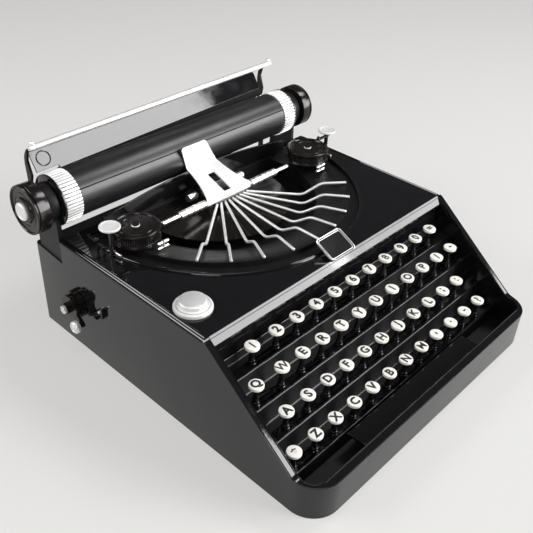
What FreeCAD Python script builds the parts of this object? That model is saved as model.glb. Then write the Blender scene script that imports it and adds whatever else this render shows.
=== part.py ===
import FreeCAD, Part
import math
import os

# Folded-sheet keyboard typewriter, in millimetres.
# Frame: origin in the middle of the case's underside, +X to the typist's right,
# +Y to the rear, +Z up.

V = FreeCAD.Vector

# ---- driving dimensions ----
KEY_PITCH = 19.0            # centre to centre along a row
CASE_WIDTH = 250.0
CASE_DEPTH = 268.0
DECK_HEIGHT = 84.0
LIP_HEIGHT = 26.0           # top of the front wall
REAR_HEIGHT = 67.6          # top of the side wall at the rear corner
NOTCH_HEIGHT = 64.6         # top of the side wall at the foot of the deck's rear step
SHEET = 1.2                 # sheet iron
FRONT_CORNER = 20.0
REAR_CORNER = 3.0
FLANGE_WIDTH = 4.8          # inturned edge beside the keyboard
LIP_WIDTH = 6.5             # inturned edge in front of the space bar
HEM_DEPTH = 4.2             # down-turned hem along the inner edge of both
WELL_CORNER = 9.0
DECK_FRONT = -41.5
DECK_REAR = 101.0
SLOPE_FOOT = -115.3         # where the sloping side meets the level lip
DECK_EDGE = 3.0             # fold radius along the deck's sides
APRON_GAP = 0.2             # between the deck's front strip and the inturned edges beside it

HALF_WIDTH = CASE_WIDTH / 2
HALF_DEPTH = CASE_DEPTH / 2

# keyboard
ROW_STEP = 16.25
ROW_DROP = 14.4
FIRST_ROW_Y = -52.1
FIRST_ROW_TOP = 69.4
ROW_FIRST_X = (-92.6, -104.2, -97.2, -107.4)
ROW_COUNT = (11, 12, 11, 12)
FIRST_KEY_OUT = (2.3, 3.4, 0.7, 0.6)    # how far each row's first key stands outside the pitch
KEY_HEIGHT = 15.4           # top of a key cap above its tread
ROW_EXTRA = (0.0, 2.0, 0.0, 0.0)        # how much taller a row's keys stand
CAP_RADIUS = 5.3
CAP_THICKNESS = 2.0
POST_RADIUS = 1.5
BUSH_STEPS = (2.9, 2.4, 2.0)    # radii of the stepped bush, from the tread up
BUSH_STEP_HEIGHT = 1.9
CLIP_RADIUS = 2.7
CLIP_THICKNESS = 1.0
RUNNING = 0.05              # radial clearance of a running fit
END_PLAY = 0.4              # gap beside a turning or sliding piece
NOSING_AHEAD = 4.7          # front edge of a tread ahead of its key row
RISER_LEAN = 1.7
TIER_TOP = 61.0             # top of the tier plate's rear upstand
TIER_REAR = DECK_FRONT - 2 * SHEET
BAR_HALF_LENGTH = 67.0      # space bar
BAR_FRONT = -124.4
BAR_REAR = -109.4
BAR_TOP = 16.6
BAR_THICKNESS = 2.0
LEG_X = 50.0
LEG_FOOT = 4.6
LEG_RADIUS = 2.0
GUIDE_TOP = 8.6

# type basket
BASKET_Y = 78.0
RIM_RADIUS = 108.8
BEAD = 1.6
BASKET_REAR = 93.0          # straight rear edge of the round opening
RING_OUTER = 98.0
RING_INNER = 78.0
FAN_Y = 84.0
FAN_RADIUS = 60.0
BAR_ENDS_RADIUS = 100.0
BAR_COUNT = 9
BAR_ANGLE = 12.8            # degrees between neighbouring bars
BAR_RADIUS = 1.15
HUB_TOP = 86.0
BASKET_FLOOR = 66.0
FAN_CROWN = 80.8
FORK_X = 81.5
FORK_Y = 44.5
FORK_HEIGHTS = (86.6, 90.4)     # the fork's two cross bars
FORK_HALF = 4.7

# carriage
CARRIAGE_X = -4.5           # the carriage stands a little left of the middle
PLATEN_Y = 114.2
PLATEN_Z = 107.2
ROLLER_RADIUS = 16.9
RING_RADIUS = 18.3
KNOB_RADIUS = 17.4
AXLE_RADIUS = 3.0
ROLLER_HALF = 101.0         # roller between its rings
RING_WIDTH = 12.6
RING_FLUTES = 48
FLUTE_RADIUS = 0.7
KNOB_START = 124.4          # inner face of a knob from the carriage's middle
KNOB_LENGTH = 10.6
CHEEK_START = 115.9         # inner face of an end plate from the carriage's middle
CHEEK = 3.6
REST_Y = 131.0              # rod along the top of the paper rest
REST_Z = 141.6
REST_TILT = 1.15            # degrees, right end up
REST_HALF = 116.2
REST_ROD = 2.0
NUB_INSET = 3.0             # from the rod's end
NUB_RADIUS = 1.8
NUB_RISE = 2.8
REST_LEFT = -121.4          # left edge of the plate under the rod
REST_RIGHT = 91.0
REST_LEAN = 33.0            # degrees back from upright
REST_BEHIND = 1.4           # plate's front face behind the rod's axis
REST_RISE = 1.4             # plate's top above the rod's axis, along its slope
REST_DROP = 16.2
REST_CORNER = 6.0
RIGHT_ARM_X = 103.0
ARM_THICKNESS = 1.8
ARM_FRONT = 129.0
ARM_REAR = 133.6

# bracket of the card guide, and what stands under it
BRACKET_LIP_Y = 63.4
BRACKET_TOE_Z = 90.6
BRACKET_BEND_Z = 102.1
TAB_Y = 95.3
CROSS_Y = 66.7
CROSS_Z = 86.8
CROSS_RADIUS = 1.7
ROLL_Y = 80.0
ROLL_Z = 87.5

# spools
SPOOL_X = 88.0
SPOOL_Y = 64.5
SPOOL_RADIUS = 17.0
SPOOL_BOTTOM = 87.4
SPOOL_TOP = 97.8
POST_OF_SPOOL = 2.0
THUMB_X = 109.6
THUMB_Y = 62.8
THUMB_TOP = 106.8

# crank on the left side
CRANK_Y = 86.5
CRANK_Z = 39.5
HANDLE_Y = 75.2
HANDLE_Z = 30.3
SHAFT_RADIUS = 3.0

# button on the deck
BUTTON_X = -108.2
BUTTON_Y = -14.8
BUTTON_RADIUS = 10.2
BUTTON_BOTTOM = 86.3
BUTTON_TOP = 90.0
STEM_RADIUS = 4.0
BEZEL_RADIUS = 12.4
BEZEL_HEIGHT = 2.4

# Name plate, left bare
BADGE_X = 2.6
BADGE_WIDTH = 25.4
BADGE_LENGTH = 19.0
BADGE_THICKNESS = 1.6
BADGE_CORNER = 3.0
BADGE_RIM = 1.6
BADGE_LEAN = 27.0           # degrees up from the deck


# ---- helpers ----
def box(x0, x1, y0, y1, z0, z1):
    return Part.makeBox(x1 - x0, y1 - y0, z1 - z0, V(x0, y0, z0))


def cylinder(centre, axis, radius, length):
    return Part.makeCylinder(radius, length, centre, axis)


def polygon_face(points):
    return Part.Face(Part.makePolygon(points + points[:1]))


def side_prism(outline, x0, x1):
    """Extrude a (y, z) outline along X."""
    face = polygon_face([V(x0, y, z) for y, z in outline])
    return face.extrude(V(x1 - x0, 0, 0))


def revolve_z(outline, x, y):
    """Turn an (r, z) outline about a vertical axis."""
    face = polygon_face([V(x + r, y, z) for r, z in outline])
    return face.revolve(V(x, y, 0), V(0, 0, 1), 360)


def revolve_x(outline, y, z):
    """Turn an (x, r) outline about an axis along X."""
    face = polygon_face([V(x, y, z + r) for x, r in outline])
    return face.revolve(V(0, y, z), V(1, 0, 0), 360)


def rounded_plan(x0, x1, y0, y1, front_radius, rear_radius, z0, z1):
    """Upright block with rounded front and rear corners."""
    block = box(x0, x1, y0, y1, z0, z1)
    front = []
    for edge in block.Edges:
        ends = edge.Vertexes
        if abs(ends[0].Z - ends[1].Z) > 0.5 * (z1 - z0) and ends[0].Y < y0 + 1:
            front.append(edge)
    block = block.makeFillet(front_radius, front)
    if rear_radius <= 0:
        return block
    rear = []
    for edge in block.Edges:
        ends = edge.Vertexes
        if len(ends) == 2 and min(v.Y for v in ends) > y1 - 0.01:
            if abs(ends[0].Z - ends[1].Z) > 0.5 * (z1 - z0):
                rear.append(edge)
    return block.makeFillet(rear_radius, rear)


def offset_line(points, distance):
    """Copy of an open (y, z) outline moved sideways, with its corners kept sharp."""
    moved = []
    last = len(points) - 1
    for index, here in enumerate(points):
        normals = []
        for a, b in ((max(index - 1, 0), index), (index, min(index + 1, last))):
            run_y = points[b][0] - points[a][0]
            run_z = points[b][1] - points[a][1]
            length = math.hypot(run_y, run_z)
            if length > 0:
                normals.append((run_z / length, -run_y / length))
        mean_y = sum(n[0] for n in normals) / len(normals)
        mean_z = sum(n[1] for n in normals) / len(normals)
        square = mean_y ** 2 + mean_z ** 2
        moved.append((here[0] + distance * mean_y / square, here[1] + distance * mean_z / square))
    return moved


def folded_sheet(points, thickness, x0, x1):
    """Sheet bent along a (y, z) outline, its thickness on the outline's right-hand side."""
    return side_prism(points + offset_line(points, thickness)[::-1], x0, x1)


def bent_wire(points, bend_radius):
    """Path through the points, with each corner rounded to an arc."""
    edges = []
    start = points[0]
    for before, corner, after in zip(points, points[1:], points[2:]):
        u = (before - corner).normalize()
        w = (after - corner).normalize()
        half = u.getAngle(w) / 2
        reach = bend_radius / math.tan(half)
        inward = (u + w).normalize()
        first = corner + u * reach
        last = corner + w * reach
        middle = corner + inward * (bend_radius / math.sin(half) - bend_radius)
        edges.append(Part.makeLine(start, first))
        edges.append(Part.Arc(first, middle, last).toShape())
        start = last
    edges.append(Part.makeLine(start, points[-1]))
    return Part.Wire(edges)


def rod_along(points, bend_radius, radius):
    path = bent_wire(points, bend_radius)
    ring = Part.makeCircle(radius, points[0], points[1] - points[0])
    return path.makePipeShell([Part.Wire([ring])], True, True)


def save(name, *solids):
    shape = solids[0] if len(solids) == 1 else Part.makeCompound(list(solids))
    shape.exportStep("parts/" + name + ".step")


# ---- case: folded walls, sloping sides, inturned edges, base plate ----
def case_outline(inset):
    """Side view of the case, drawn inward by the sheet's thickness."""
    slope = (DECK_HEIGHT - LIP_HEIGHT) / (DECK_FRONT - SLOPE_FOOT)
    lean = math.sqrt(1 + slope * slope)
    foot_shift = inset * (lean - 1) / slope
    top = DECK_HEIGHT - inset
    lip = LIP_HEIGHT - inset
    rear = HALF_DEPTH - inset
    return [(rear, 0), (rear, REAR_HEIGHT - inset), (DECK_REAR - inset, NOTCH_HEIGHT - inset),
            (DECK_REAR - inset, top), (DECK_FRONT + foot_shift, top),
            (SLOPE_FOOT + foot_shift, lip), (-HALF_DEPTH + inset, lip), (-HALF_DEPTH + inset, 0)]


def case_block(inset):
    """Whole case as one block, with the bends of its sides and its corners rounded."""
    half = HALF_WIDTH - inset
    body = side_prism(case_outline(inset), -half, half)
    bends = []
    for edge in body.Edges:
        mid = edge.CenterOfMass
        near_top = abs(mid.y - DECK_FRONT) < 4 and mid.z > DECK_HEIGHT - 4
        near_foot = abs(mid.y - SLOPE_FOOT) < 4 and abs(mid.z - LIP_HEIGHT) < 4
        if near_top or near_foot:
            if abs(edge.Vertexes[0].X - edge.Vertexes[1].X) > 1:
                bends.append(edge)
    body = body.makeFillet(9.0, bends)
    return body.common(rounded_plan(-half, half, -HALF_DEPTH + inset, HALF_DEPTH - inset,
                                    FRONT_CORNER - inset, REAR_CORNER - inset, -inset, 100))


def well_block(grow, z0, z1):
    """Opening over the keyboard, with rounded front corners."""
    half = HALF_WIDTH - FLANGE_WIDTH + grow
    front = -HALF_DEPTH + LIP_WIDTH - grow
    return rounded_plan(-half, half, front, DECK_FRONT, WELL_CORNER + grow, 0, z0, z1)


def wall_lever():
    """T-shaped catch riveted flat on the left wall, ahead of the crank."""
    wall = -HALF_WIDTH
    bar = box(wall - 2.4, wall, -10.4, 10.4, -1.7, 1.7)
    bar.rotate(V(0, 0, 0), V(1, 0, 0), -34.3)
    bar.translate(V(0, 65.5, 41.8))
    cross = box(wall - 3.6, wall, 54.6, 57.2, 43.4, 52.0)
    pin = cylinder(V(wall - 3.6, 55.9, 50.4), V(-1, 0, 0), 1.0, 1.8)
    return bar.fuse(cross).fuse(pin)


def case_shell():
    outer = case_block(0)
    shell = outer.cut(case_block(SHEET))
    hem = well_block(SHEET, 10, 100).cut(well_block(0, 10, 100))
    under = outer.copy()
    under.translate(V(0, 0, -HEM_DEPTH))
    hem = hem.common(outer).cut(under)
    shell = shell.cut(well_block(0, 10, 100)).fuse(hem)
    inner_half = HALF_WIDTH - SHEET
    seat = DECK_HEIGHT - SHEET
    deck_room = box(-HALF_WIDTH, HALF_WIDTH, DECK_FRONT, DECK_REAR, DECK_HEIGHT - DECK_EDGE, DECK_HEIGHT)
    flat_half = HALF_WIDTH - DECK_EDGE
    rear_wall = box(-flat_half, flat_half, DECK_REAR - SHEET, DECK_REAR, DECK_HEIGHT - DECK_EDGE, seat)
    shell = shell.cut(deck_room.cut(rear_wall))
    shaft_hole = cylinder(V(-HALF_WIDTH - 1, CRANK_Y, CRANK_Z), V(1, 0, 0), SHAFT_RADIUS + RUNNING, 4)
    shell = shell.cut(shaft_hole)
    base = rounded_plan(-inner_half, inner_half, -HALF_DEPTH + SHEET, HALF_DEPTH - SHEET,
                        FRONT_CORNER - SHEET, REAR_CORNER - SHEET, 0, SHEET)
    guides = []
    for side in (-1, 1):
        foot = V(side * LEG_X, (BAR_FRONT + BAR_REAR) / 2, SHEET)
        tube = cylinder(foot, V(0, 0, 1), LEG_RADIUS + 1.6, GUIDE_TOP - SHEET)
        guides.append(tube.cut(cylinder(foot, V(0, 0, 1), LEG_RADIUS + RUNNING, GUIDE_TOP)))
    save("case_shell", shell.removeSplitter(), base, wall_lever(), *guides)


# ---- deck: plate with folded sides, sloping front strip and bead ----
def folded_section(y, half, top, radius):
    """Edges of a plate's section with both sides folded down through an arc."""
    turn = radius * math.sqrt(0.5)
    edges = []
    for side in (-1, 1):
        start = V(side * half, y, top - radius)
        middle = V(side * (half - radius + turn), y, top - radius + turn)
        end = V(side * (half - radius), y, top)
        edges.append(Part.Arc(start, middle, end).toShape())
    edges.append(Part.makeLine(V(radius - half, y, top), V(half - radius, y, top)))
    return edges


def deck_sheet():
    top = DECK_HEIGHT
    half = HALF_WIDTH
    low = top - DECK_EDGE
    edges = folded_section(DECK_FRONT, half, top, DECK_EDGE)
    edges += folded_section(DECK_FRONT, half - SHEET, top - SHEET, DECK_EDGE - SHEET)
    for side in (-1, 1):
        edges.append(Part.makeLine(V(side * half, DECK_FRONT, low), V(side * (half - SHEET), DECK_FRONT, low)))
    section = Part.Face(Part.Wire(Part.sortEdges(edges)[0]))
    return section.extrude(V(0, DECK_REAR - DECK_FRONT, 0))


def name_plate(plate):
    """Bare plate with rounded corners, leaning on a wedge behind the deck's front edge."""
    top = DECK_HEIGHT
    half = BADGE_WIDTH / 2
    badge = box(-half, half, 0, BADGE_LENGTH, 0, BADGE_THICKNESS)
    corners = [e for e in badge.Edges if abs(e.Vertexes[0].Z - e.Vertexes[1].Z) > 1]
    badge = badge.makeFillet(BADGE_CORNER, corners)
    rim = BADGE_RIM
    recess = box(rim - half, half - rim, rim, BADGE_LENGTH - rim, BADGE_THICKNESS - 0.4, 2)
    corners = [e for e in recess.Edges if abs(e.Vertexes[0].Z - e.Vertexes[1].Z) > 0.3]
    badge = badge.cut(recess.makeFillet(BADGE_CORNER - rim / 2, corners))
    badge.rotate(V(0, 0, 0), V(1, 0, 0), BADGE_LEAN)
    badge.translate(V(BADGE_X, DECK_FRONT - 1.6, top - 0.2))
    badge = badge.cut(plate)
    wedge = side_prism([(DECK_FRONT + 1.5, top), (DECK_FRONT + 13.0, top), (DECK_FRONT + 13.0, top + 7.0),
                        (DECK_FRONT + 1.5, top + 1.2)], BADGE_X - 6.5, BADGE_X + 6.5)
    return badge.Solids[0], wedge.cut(badge).cut(plate).Solids[0]


def spool_fittings(side, plate):
    """Post with a thumb disc and its arm, a ball pin, a beaded pin and a bar, beside one spool."""
    top = DECK_HEIGHT
    up = V(0, 0, 1)
    x = side * THUMB_X
    post = cylinder(V(x, THUMB_Y, top), up, 1.6, THUMB_TOP - 2 - top)
    reach = sorted((x, side * 96.6))
    post = post.fuse(box(reach[0], reach[1], THUMB_Y - 2.4, THUMB_Y + 0.4, 101.4, 102.6))
    post = post.fuse(cylinder(V(side * 97.8, THUMB_Y - 1, 102.6), up, 1.1, 2.0))
    disc = cylinder(V(x, THUMB_Y, THUMB_TOP - 2), up, 7.2, 2.0)
    rim = [e for e in disc.Edges if e.CenterOfMass.z > THUMB_TOP - 0.1]
    disc = disc.makeFillet(0.6, rim)
    ball_pin = cylinder(V(side * 112.6, 74.7, top), up, 0.9, 7.0)
    ball_pin = ball_pin.fuse(Part.makeSphere(1.7, V(side * 112.6, 74.7, top + 7.6)))
    beads = cylinder(V(side * 113.2, 67.2, top), up, 0.8, 5.4)
    for height in (1.6, 5.4):
        beads = beads.fuse(Part.makeSphere(1.3, V(side * 113.2, 67.2, top + height)))
    bar = cylinder(V(side * 108.2, 67.0, top + 2.3), V(0, -1, 0), 0.9, 12.0).cut(post)
    loose = [post, disc, ball_pin, beads, bar]
    return [piece.cut(plate).Solids[0] for piece in loose]


def deck_plate():
    half = HALF_WIDTH
    top = DECK_HEIGHT
    plate = deck_sheet()
    opening = cylinder(V(0, BASKET_Y, top - 20), V(0, 0, 1), RIM_RADIUS - BEAD, 40)
    opening = opening.common(box(-half, half, -80, BASKET_REAR, 0, 120))
    plate = plate.cut(opening)
    apron_half = half - FLANGE_WIDTH - APRON_GAP
    apron = side_prism([(DECK_FRONT, top), (DECK_FRONT - 4.0, top - 5.0), (DECK_FRONT - 4.0, top - 6.4),
                        (DECK_FRONT - 2.8, top - 6.4), (DECK_FRONT - 2.8, top - 5.4),
                        (DECK_FRONT, top - SHEET)], -apron_half, apron_half)
    fall = box(-apron_half, apron_half, DECK_FRONT - SHEET, DECK_FRONT, 52, top - SHEET)
    plate = plate.fuse(apron).fuse(fall)
    bead = Part.makeTorus(RIM_RADIUS, BEAD, V(0, BASKET_Y, top), V(0, 0, 1))
    bead = bead.common(box(-half, half, -80, BASKET_REAR, top, top + 10))
    plate = plate.fuse(bead)
    button = V(BUTTON_X, BUTTON_Y, top - 5)
    return plate.cut(cylinder(button, V(0, 0, 1), STEM_RADIUS + RUNNING, 10)).removeSplitter()


def bezel():
    """Ring round the push button."""
    top = DECK_HEIGHT
    bore = BUTTON_RADIUS + RUNNING
    high = top + BEZEL_HEIGHT
    return revolve_z([(bore, top), (BEZEL_RADIUS, top), (BEZEL_RADIUS, high - 1.0),
                      (BEZEL_RADIUS - 0.8, high), (bore, high)], BUTTON_X, BUTTON_Y)


# ---- keyboard: one folded stair, and a stepped bush on its tread for every key ----
def row_place(row):
    y = FIRST_ROW_Y - row * ROW_STEP
    tread = FIRST_ROW_TOP - KEY_HEIGHT - row * ROW_DROP
    return y, tread


def key_places():
    for row, count in enumerate(ROW_COUNT):
        y, tread = row_place(row)
        for column in range(count):
            x = ROW_FIRST_X[row] + column * KEY_PITCH
            if column == 0:
                x -= FIRST_KEY_OUT[row]
            yield row, column, x, y, tread


def keyboard_tiers():
    half = HALF_WIDTH - SHEET
    up = V(0, 0, 1)
    corner = TIER_REAR
    outline = [(TIER_REAR, TIER_TOP)]
    for row in range(len(ROW_COUNT)):
        y, tread = row_place(row)
        nosing = y - NOSING_AHEAD
        outline += [(corner, tread), (nosing, tread)]
        corner = nosing - RISER_LEAN
    outline.append((corner, 0))
    stair = folded_sheet(outline, -SHEET, -half, half)
    stair = stair.cut(box(-half, half, -HALF_DEPTH, 0, -5, SHEET))
    for _row, _column, x, y, tread in key_places():
        hole = cylinder(V(x, y, tread - 3), up, POST_RADIUS + RUNNING, 6)
        stair = stair.cut(hole)
    save("keyboard_tiers", stair)


def key_bushes():
    bushes = []
    for _row, _column, x, y, tread in key_places():
        outline = [(POST_RADIUS + RUNNING, tread)]
        for step, radius in enumerate(BUSH_STEPS):
            level = tread + step * BUSH_STEP_HEIGHT
            outline += [(radius, level), (radius, level + BUSH_STEP_HEIGHT)]
        outline.append((POST_RADIUS + RUNNING, outline[-1][1]))
        bushes.append(revolve_z(outline, x, y))
    return bushes


def keys():
    up = V(0, 0, 1)
    for row, column, x, y, tread in key_places():
        top = tread + KEY_HEIGHT + ROW_EXTRA[row]
        foot = tread - SHEET - END_PLAY - CLIP_THICKNESS
        post = cylinder(V(x, y, foot), up, POST_RADIUS, top - CAP_THICKNESS - foot)
        clip = cylinder(V(x, y, foot), up, CLIP_RADIUS, CLIP_THICKNESS)
        cap = cylinder(V(x, y, top - CAP_THICKNESS), up, CAP_RADIUS, CAP_THICKNESS)
        save("key_row%d_%02d" % (row + 1, column + 1), post.fuse(clip), cap)


def space_bar():
    under = BAR_TOP - BAR_THICKNESS
    bar = rounded_plan(-BAR_HALF_LENGTH, BAR_HALF_LENGTH, BAR_FRONT, BAR_REAR, 3.0, 0, under, BAR_TOP)
    long_edges = [e for e in bar.Edges if e.CenterOfMass.z > BAR_TOP - 0.1]
    bar = bar.makeFillet(0.8, long_edges)
    middle = (BAR_FRONT + BAR_REAR) / 2
    legs = []
    for side in (-1, 1):
        foot = V(side * LEG_X, middle, LEG_FOOT)
        legs.append(cylinder(foot, V(0, 0, 1), LEG_RADIUS, under - LEG_FOOT))
    save("space_bar", bar, *legs)


# ---- type basket: dish with a raised ring, fan plate, spool posts, small forks ----
def fan_plate():
    cone = [(0, FAN_CROWN - SHEET), (12, FAN_CROWN - SHEET), (FAN_RADIUS, 74.0),
            (FAN_RADIUS, 74.0 + SHEET), (12, FAN_CROWN), (0, FAN_CROWN)]
    fan = revolve_z(cone, 0, FAN_Y)
    return fan.common(box(-130, 130, -80, BASKET_REAR - SHEET, 0, 120))


def spool_post(side):
    at = V(side * SPOOL_X, SPOOL_Y, 80.0)
    up = V(0, 0, 1)
    post = cylinder(at, up, POST_OF_SPOOL, SPOOL_TOP + END_PLAY - at.z)
    seat = cylinder(at, up, 6.0, SPOOL_BOTTOM - END_PLAY - at.z)
    head = cylinder(V(at.x, at.y, SPOOL_TOP + END_PLAY), up, 2.6, 0.8)
    return post.fuse(seat).fuse(head)


def type_basket():
    floor = BASKET_FLOOR
    wall = RING_INNER - SHEET
    outer = [(0, floor), (wall, floor), (wall, 79.4), (RING_OUTER, 85.2), (RING_OUTER, 81.6),
             (RIM_RADIUS + 3, 81.6)]
    inner = [(RIM_RADIUS + 3, 82.8), (RING_OUTER + SHEET, 82.8), (RING_OUTER + SHEET, 86.6),
             (RING_OUTER - 0.6, 86.6), (RING_INNER, 80.8), (wall - SHEET, 80.8),
             (wall - SHEET, floor + SHEET), (0, floor + SHEET)]
    dish = revolve_z(outer + inner, 0, BASKET_Y)
    dish = dish.common(box(-130, 130, -80, BASKET_REAR, 0, 120))
    rear_wall = box(-wall, wall, BASKET_REAR - SHEET, BASKET_REAR, floor, 82.8)
    dish = dish.fuse(rear_wall)
    for side in (-1, 1):
        dish = dish.fuse(spool_post(side))
    return dish.removeSplitter()


def basket_fittings(dish):
    """Boss under the fan plate, and a two-bar fork on the ring at each side."""
    boss = cylinder(V(0, FAN_Y - 6, BASKET_FLOOR + SHEET), V(0, 0, 1), 6.0, FAN_CROWN - SHEET - BASKET_FLOOR)
    boss = min(boss.cut(fan_plate()).Solids, key=lambda solid: solid.CenterOfMass.z)
    forks = []
    for side in (-1, 1):
        fork = cylinder(V(side * FORK_X, FORK_Y, 80), V(0, 0, 1), 1.2, 11.6)
        for height in FORK_HEIGHTS:
            bar = cylinder(V(side * FORK_X - FORK_HALF, FORK_Y, height), V(1, 0, 0), 1.1, 2 * FORK_HALF)
            fork = fork.fuse(bar)
        forks.append(max(fork.cut(dish).Solids, key=lambda solid: solid.CenterOfMass.z))
    return [boss] + forks


def fixed_fittings(plate, dish):
    """Small pieces fixed on the deck, in the basket and on the stair."""
    loose = [bezel(), *name_plate(plate)]
    loose += spool_fittings(-1, plate) + spool_fittings(1, plate)
    save("fixed_fittings", *loose, *basket_fittings(dish), *key_bushes())


# ---- type bars: nine bent rods fanned out from one hub bar ----
def type_bar(index):
    step = index - (BAR_COUNT - 1) / 2
    angle = math.radians(BAR_ANGLE * step)
    start = V(1.0 + 3.4 * step, 64.5, HUB_TOP - 1.6)
    end = V(BAR_ENDS_RADIUS * math.sin(angle), BASKET_Y - BAR_ENDS_RADIUS * math.cos(angle), 88.3)
    flat = V(end.x - start.x, end.y - start.y, 0)
    reach = flat.Length
    along = flat / reach
    points = [start, start + along * (reach - 34) + V(0, 0, -5.4),
              start + along * (reach - 20) + V(0, 0, 3.9), end]
    return rod_along(points, 11.0, BAR_RADIUS)


def cross_rod():
    rod = cylinder(V(-64.0, CROSS_Y, CROSS_Z), V(1, 0, 0), CROSS_RADIUS, 130.5)
    for start, length in ((-47.8, 25.2), (24.0, 28.2)):
        rod = rod.fuse(cylinder(V(start, CROSS_Y, CROSS_Z), V(1, 0, 0), 3.0, length))
    return rod


def type_bars():
    bars = [type_bar(index) for index in range(BAR_COUNT)]
    hub = box(-14.0, 16.0, BRACKET_LIP_Y - 1.0, CROSS_Y + 3.0, 74, HUB_TOP)
    hub = hub.cut(fan_plate()).cut(cross_rod()).cut(Part.makeCompound(bars))
    hub = max(hub.Solids, key=lambda solid: solid.Volume)
    save("type_bars", hub, *bars)


# ---- card guide: bent bracket with a slot, cross rod, small roller ----
def bracket():
    path = [(BRACKET_LIP_Y, HUB_TOP), (BRACKET_LIP_Y, BRACKET_TOE_Z), (TAB_Y, BRACKET_BEND_Z), (TAB_Y, 122)]
    sheet = folded_sheet(path, SHEET, -30, 30)
    middle = -1.2
    flank = []
    for side in (-1, 1):
        flank.append(Part.Arc(V(middle + side * 23.0, 62, 0), V(middle + side * 17.2, 76.5, 0),
                              V(middle + side * 14.5, TAB_Y, 0)).toShape())
    front = Part.makeLine(V(middle - 23.0, 62, 0), V(middle + 23.0, 62, 0))
    rear = Part.makeLine(V(middle - 14.5, TAB_Y, 0), V(middle + 14.5, TAB_Y, 0))
    plan = Part.Face(Part.Wire(Part.sortEdges([front, flank[1], rear, flank[0]])[0])).extrude(V(0, 0, 200))
    tab = [(-15.4, 95), (-15.4, 102.3), (-19.4, 117.0), (-17.4, 119.3), (3.5, 119.3), (5.5, 117.6),
           (13.6, 102.3), (13.3, 95)]
    tab = polygon_face([V(x, TAB_Y, z) for x, z in tab]).extrude(V(0, 3, 0))
    slot = box(-4.6, 2.0, 65.4, 84.5, 80, 110)
    lower = sheet.common(plan)
    upper = sheet.common(tab)
    return lower.fuse(upper).cut(slot).removeSplitter()


def card_guide():
    guide = bracket()
    rod = cross_rod().cut(guide)
    across = V(1, 0, 0)
    roller = cylinder(V(-28, ROLL_Y, ROLL_Z), across, 1.3, 56)
    roller = roller.fuse(cylinder(V(-15, ROLL_Y, ROLL_Z), across, 3.2, 30))
    lugs = []
    for side in (-1, 1):
        end = sorted((side * 20.0, side * 28.0))
        roller = roller.fuse(cylinder(V(end[0], ROLL_Y, ROLL_Z), across, 2.8, 8))
        span = sorted((side * 16.2, side * 18.6))
        lug = box(span[0], span[1], ROLL_Y - 2.2, ROLL_Y + 2.2, 74, ROLL_Z + 2.4)
        lugs.append(lug)
    holes = fan_plate().fuse(roller)
    lugs = [max(lug.cut(holes).Solids, key=lambda solid: solid.CenterOfMass.z) for lug in lugs]
    save("card_guide", guide.Solids[0], rod, roller, *lugs)


# ---- carriage: end plates and arched front plate; platen; paper rest ----
def carriage_frame():
    plates = []
    case = case_block(0)
    for side in (-1, 1):
        x0, x1 = sorted((CARRIAGE_X + side * CHEEK_START, CARRIAGE_X + side * (CHEEK_START + CHEEK)))
        upright = side_prism([(PLATEN_Y - 12, 60), (PLATEN_Y + 14, 60), (PLATEN_Y + 11, PLATEN_Z),
                              (PLATEN_Y - 11, PLATEN_Z)], x0, x1)
        cheek = cylinder(V(x0, PLATEN_Y, PLATEN_Z), V(1, 0, 0), 11, CHEEK)
        bore = cylinder(V(x0 - 1, PLATEN_Y, PLATEN_Z), V(1, 0, 0), AXLE_RADIUS + RUNNING, 6)
        plates.append(upright.fuse(cheek).cut(bore).cut(case).removeSplitter().Solids[0])
    half = 92.0
    low = DECK_HEIGHT + 7.5
    high = DECK_HEIGHT + 16.8
    y = BASKET_REAR + 0.4
    crown = Part.Arc(V(-half, y, low), V(0, y, high), V(half, y, low)).toShape()
    foot = [V(half, y, low), V(half, y, DECK_HEIGHT), V(-half, y, DECK_HEIGHT), V(-half, y, low)]
    edges = [crown] + [Part.makeLine(a, b) for a, b in zip(foot, foot[1:])]
    arch = Part.Face(Part.Wire(edges)).extrude(V(0, SHEET, 0))
    arch = arch.cut(bracket())
    save("carriage_frame", *plates, max(arch.Solids, key=lambda solid: solid.Volume), *paper_rest())


def fluted_ring(start, side):
    """Silver ring on the roller's end, with flutes all round."""
    axis = V(side, 0, 0)
    ring = cylinder(V(start, PLATEN_Y, PLATEN_Z), axis, RING_RADIUS, RING_WIDTH)
    flutes = []
    for index in range(RING_FLUTES):
        angle = 2 * math.pi * index / RING_FLUTES
        reach = RING_RADIUS + 0.25
        at = V(start, PLATEN_Y + reach * math.cos(angle), PLATEN_Z + reach * math.sin(angle))
        flutes.append(cylinder(at, axis, FLUTE_RADIUS, RING_WIDTH))
    return ring.cut(Part.makeCompound(flutes))


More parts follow.
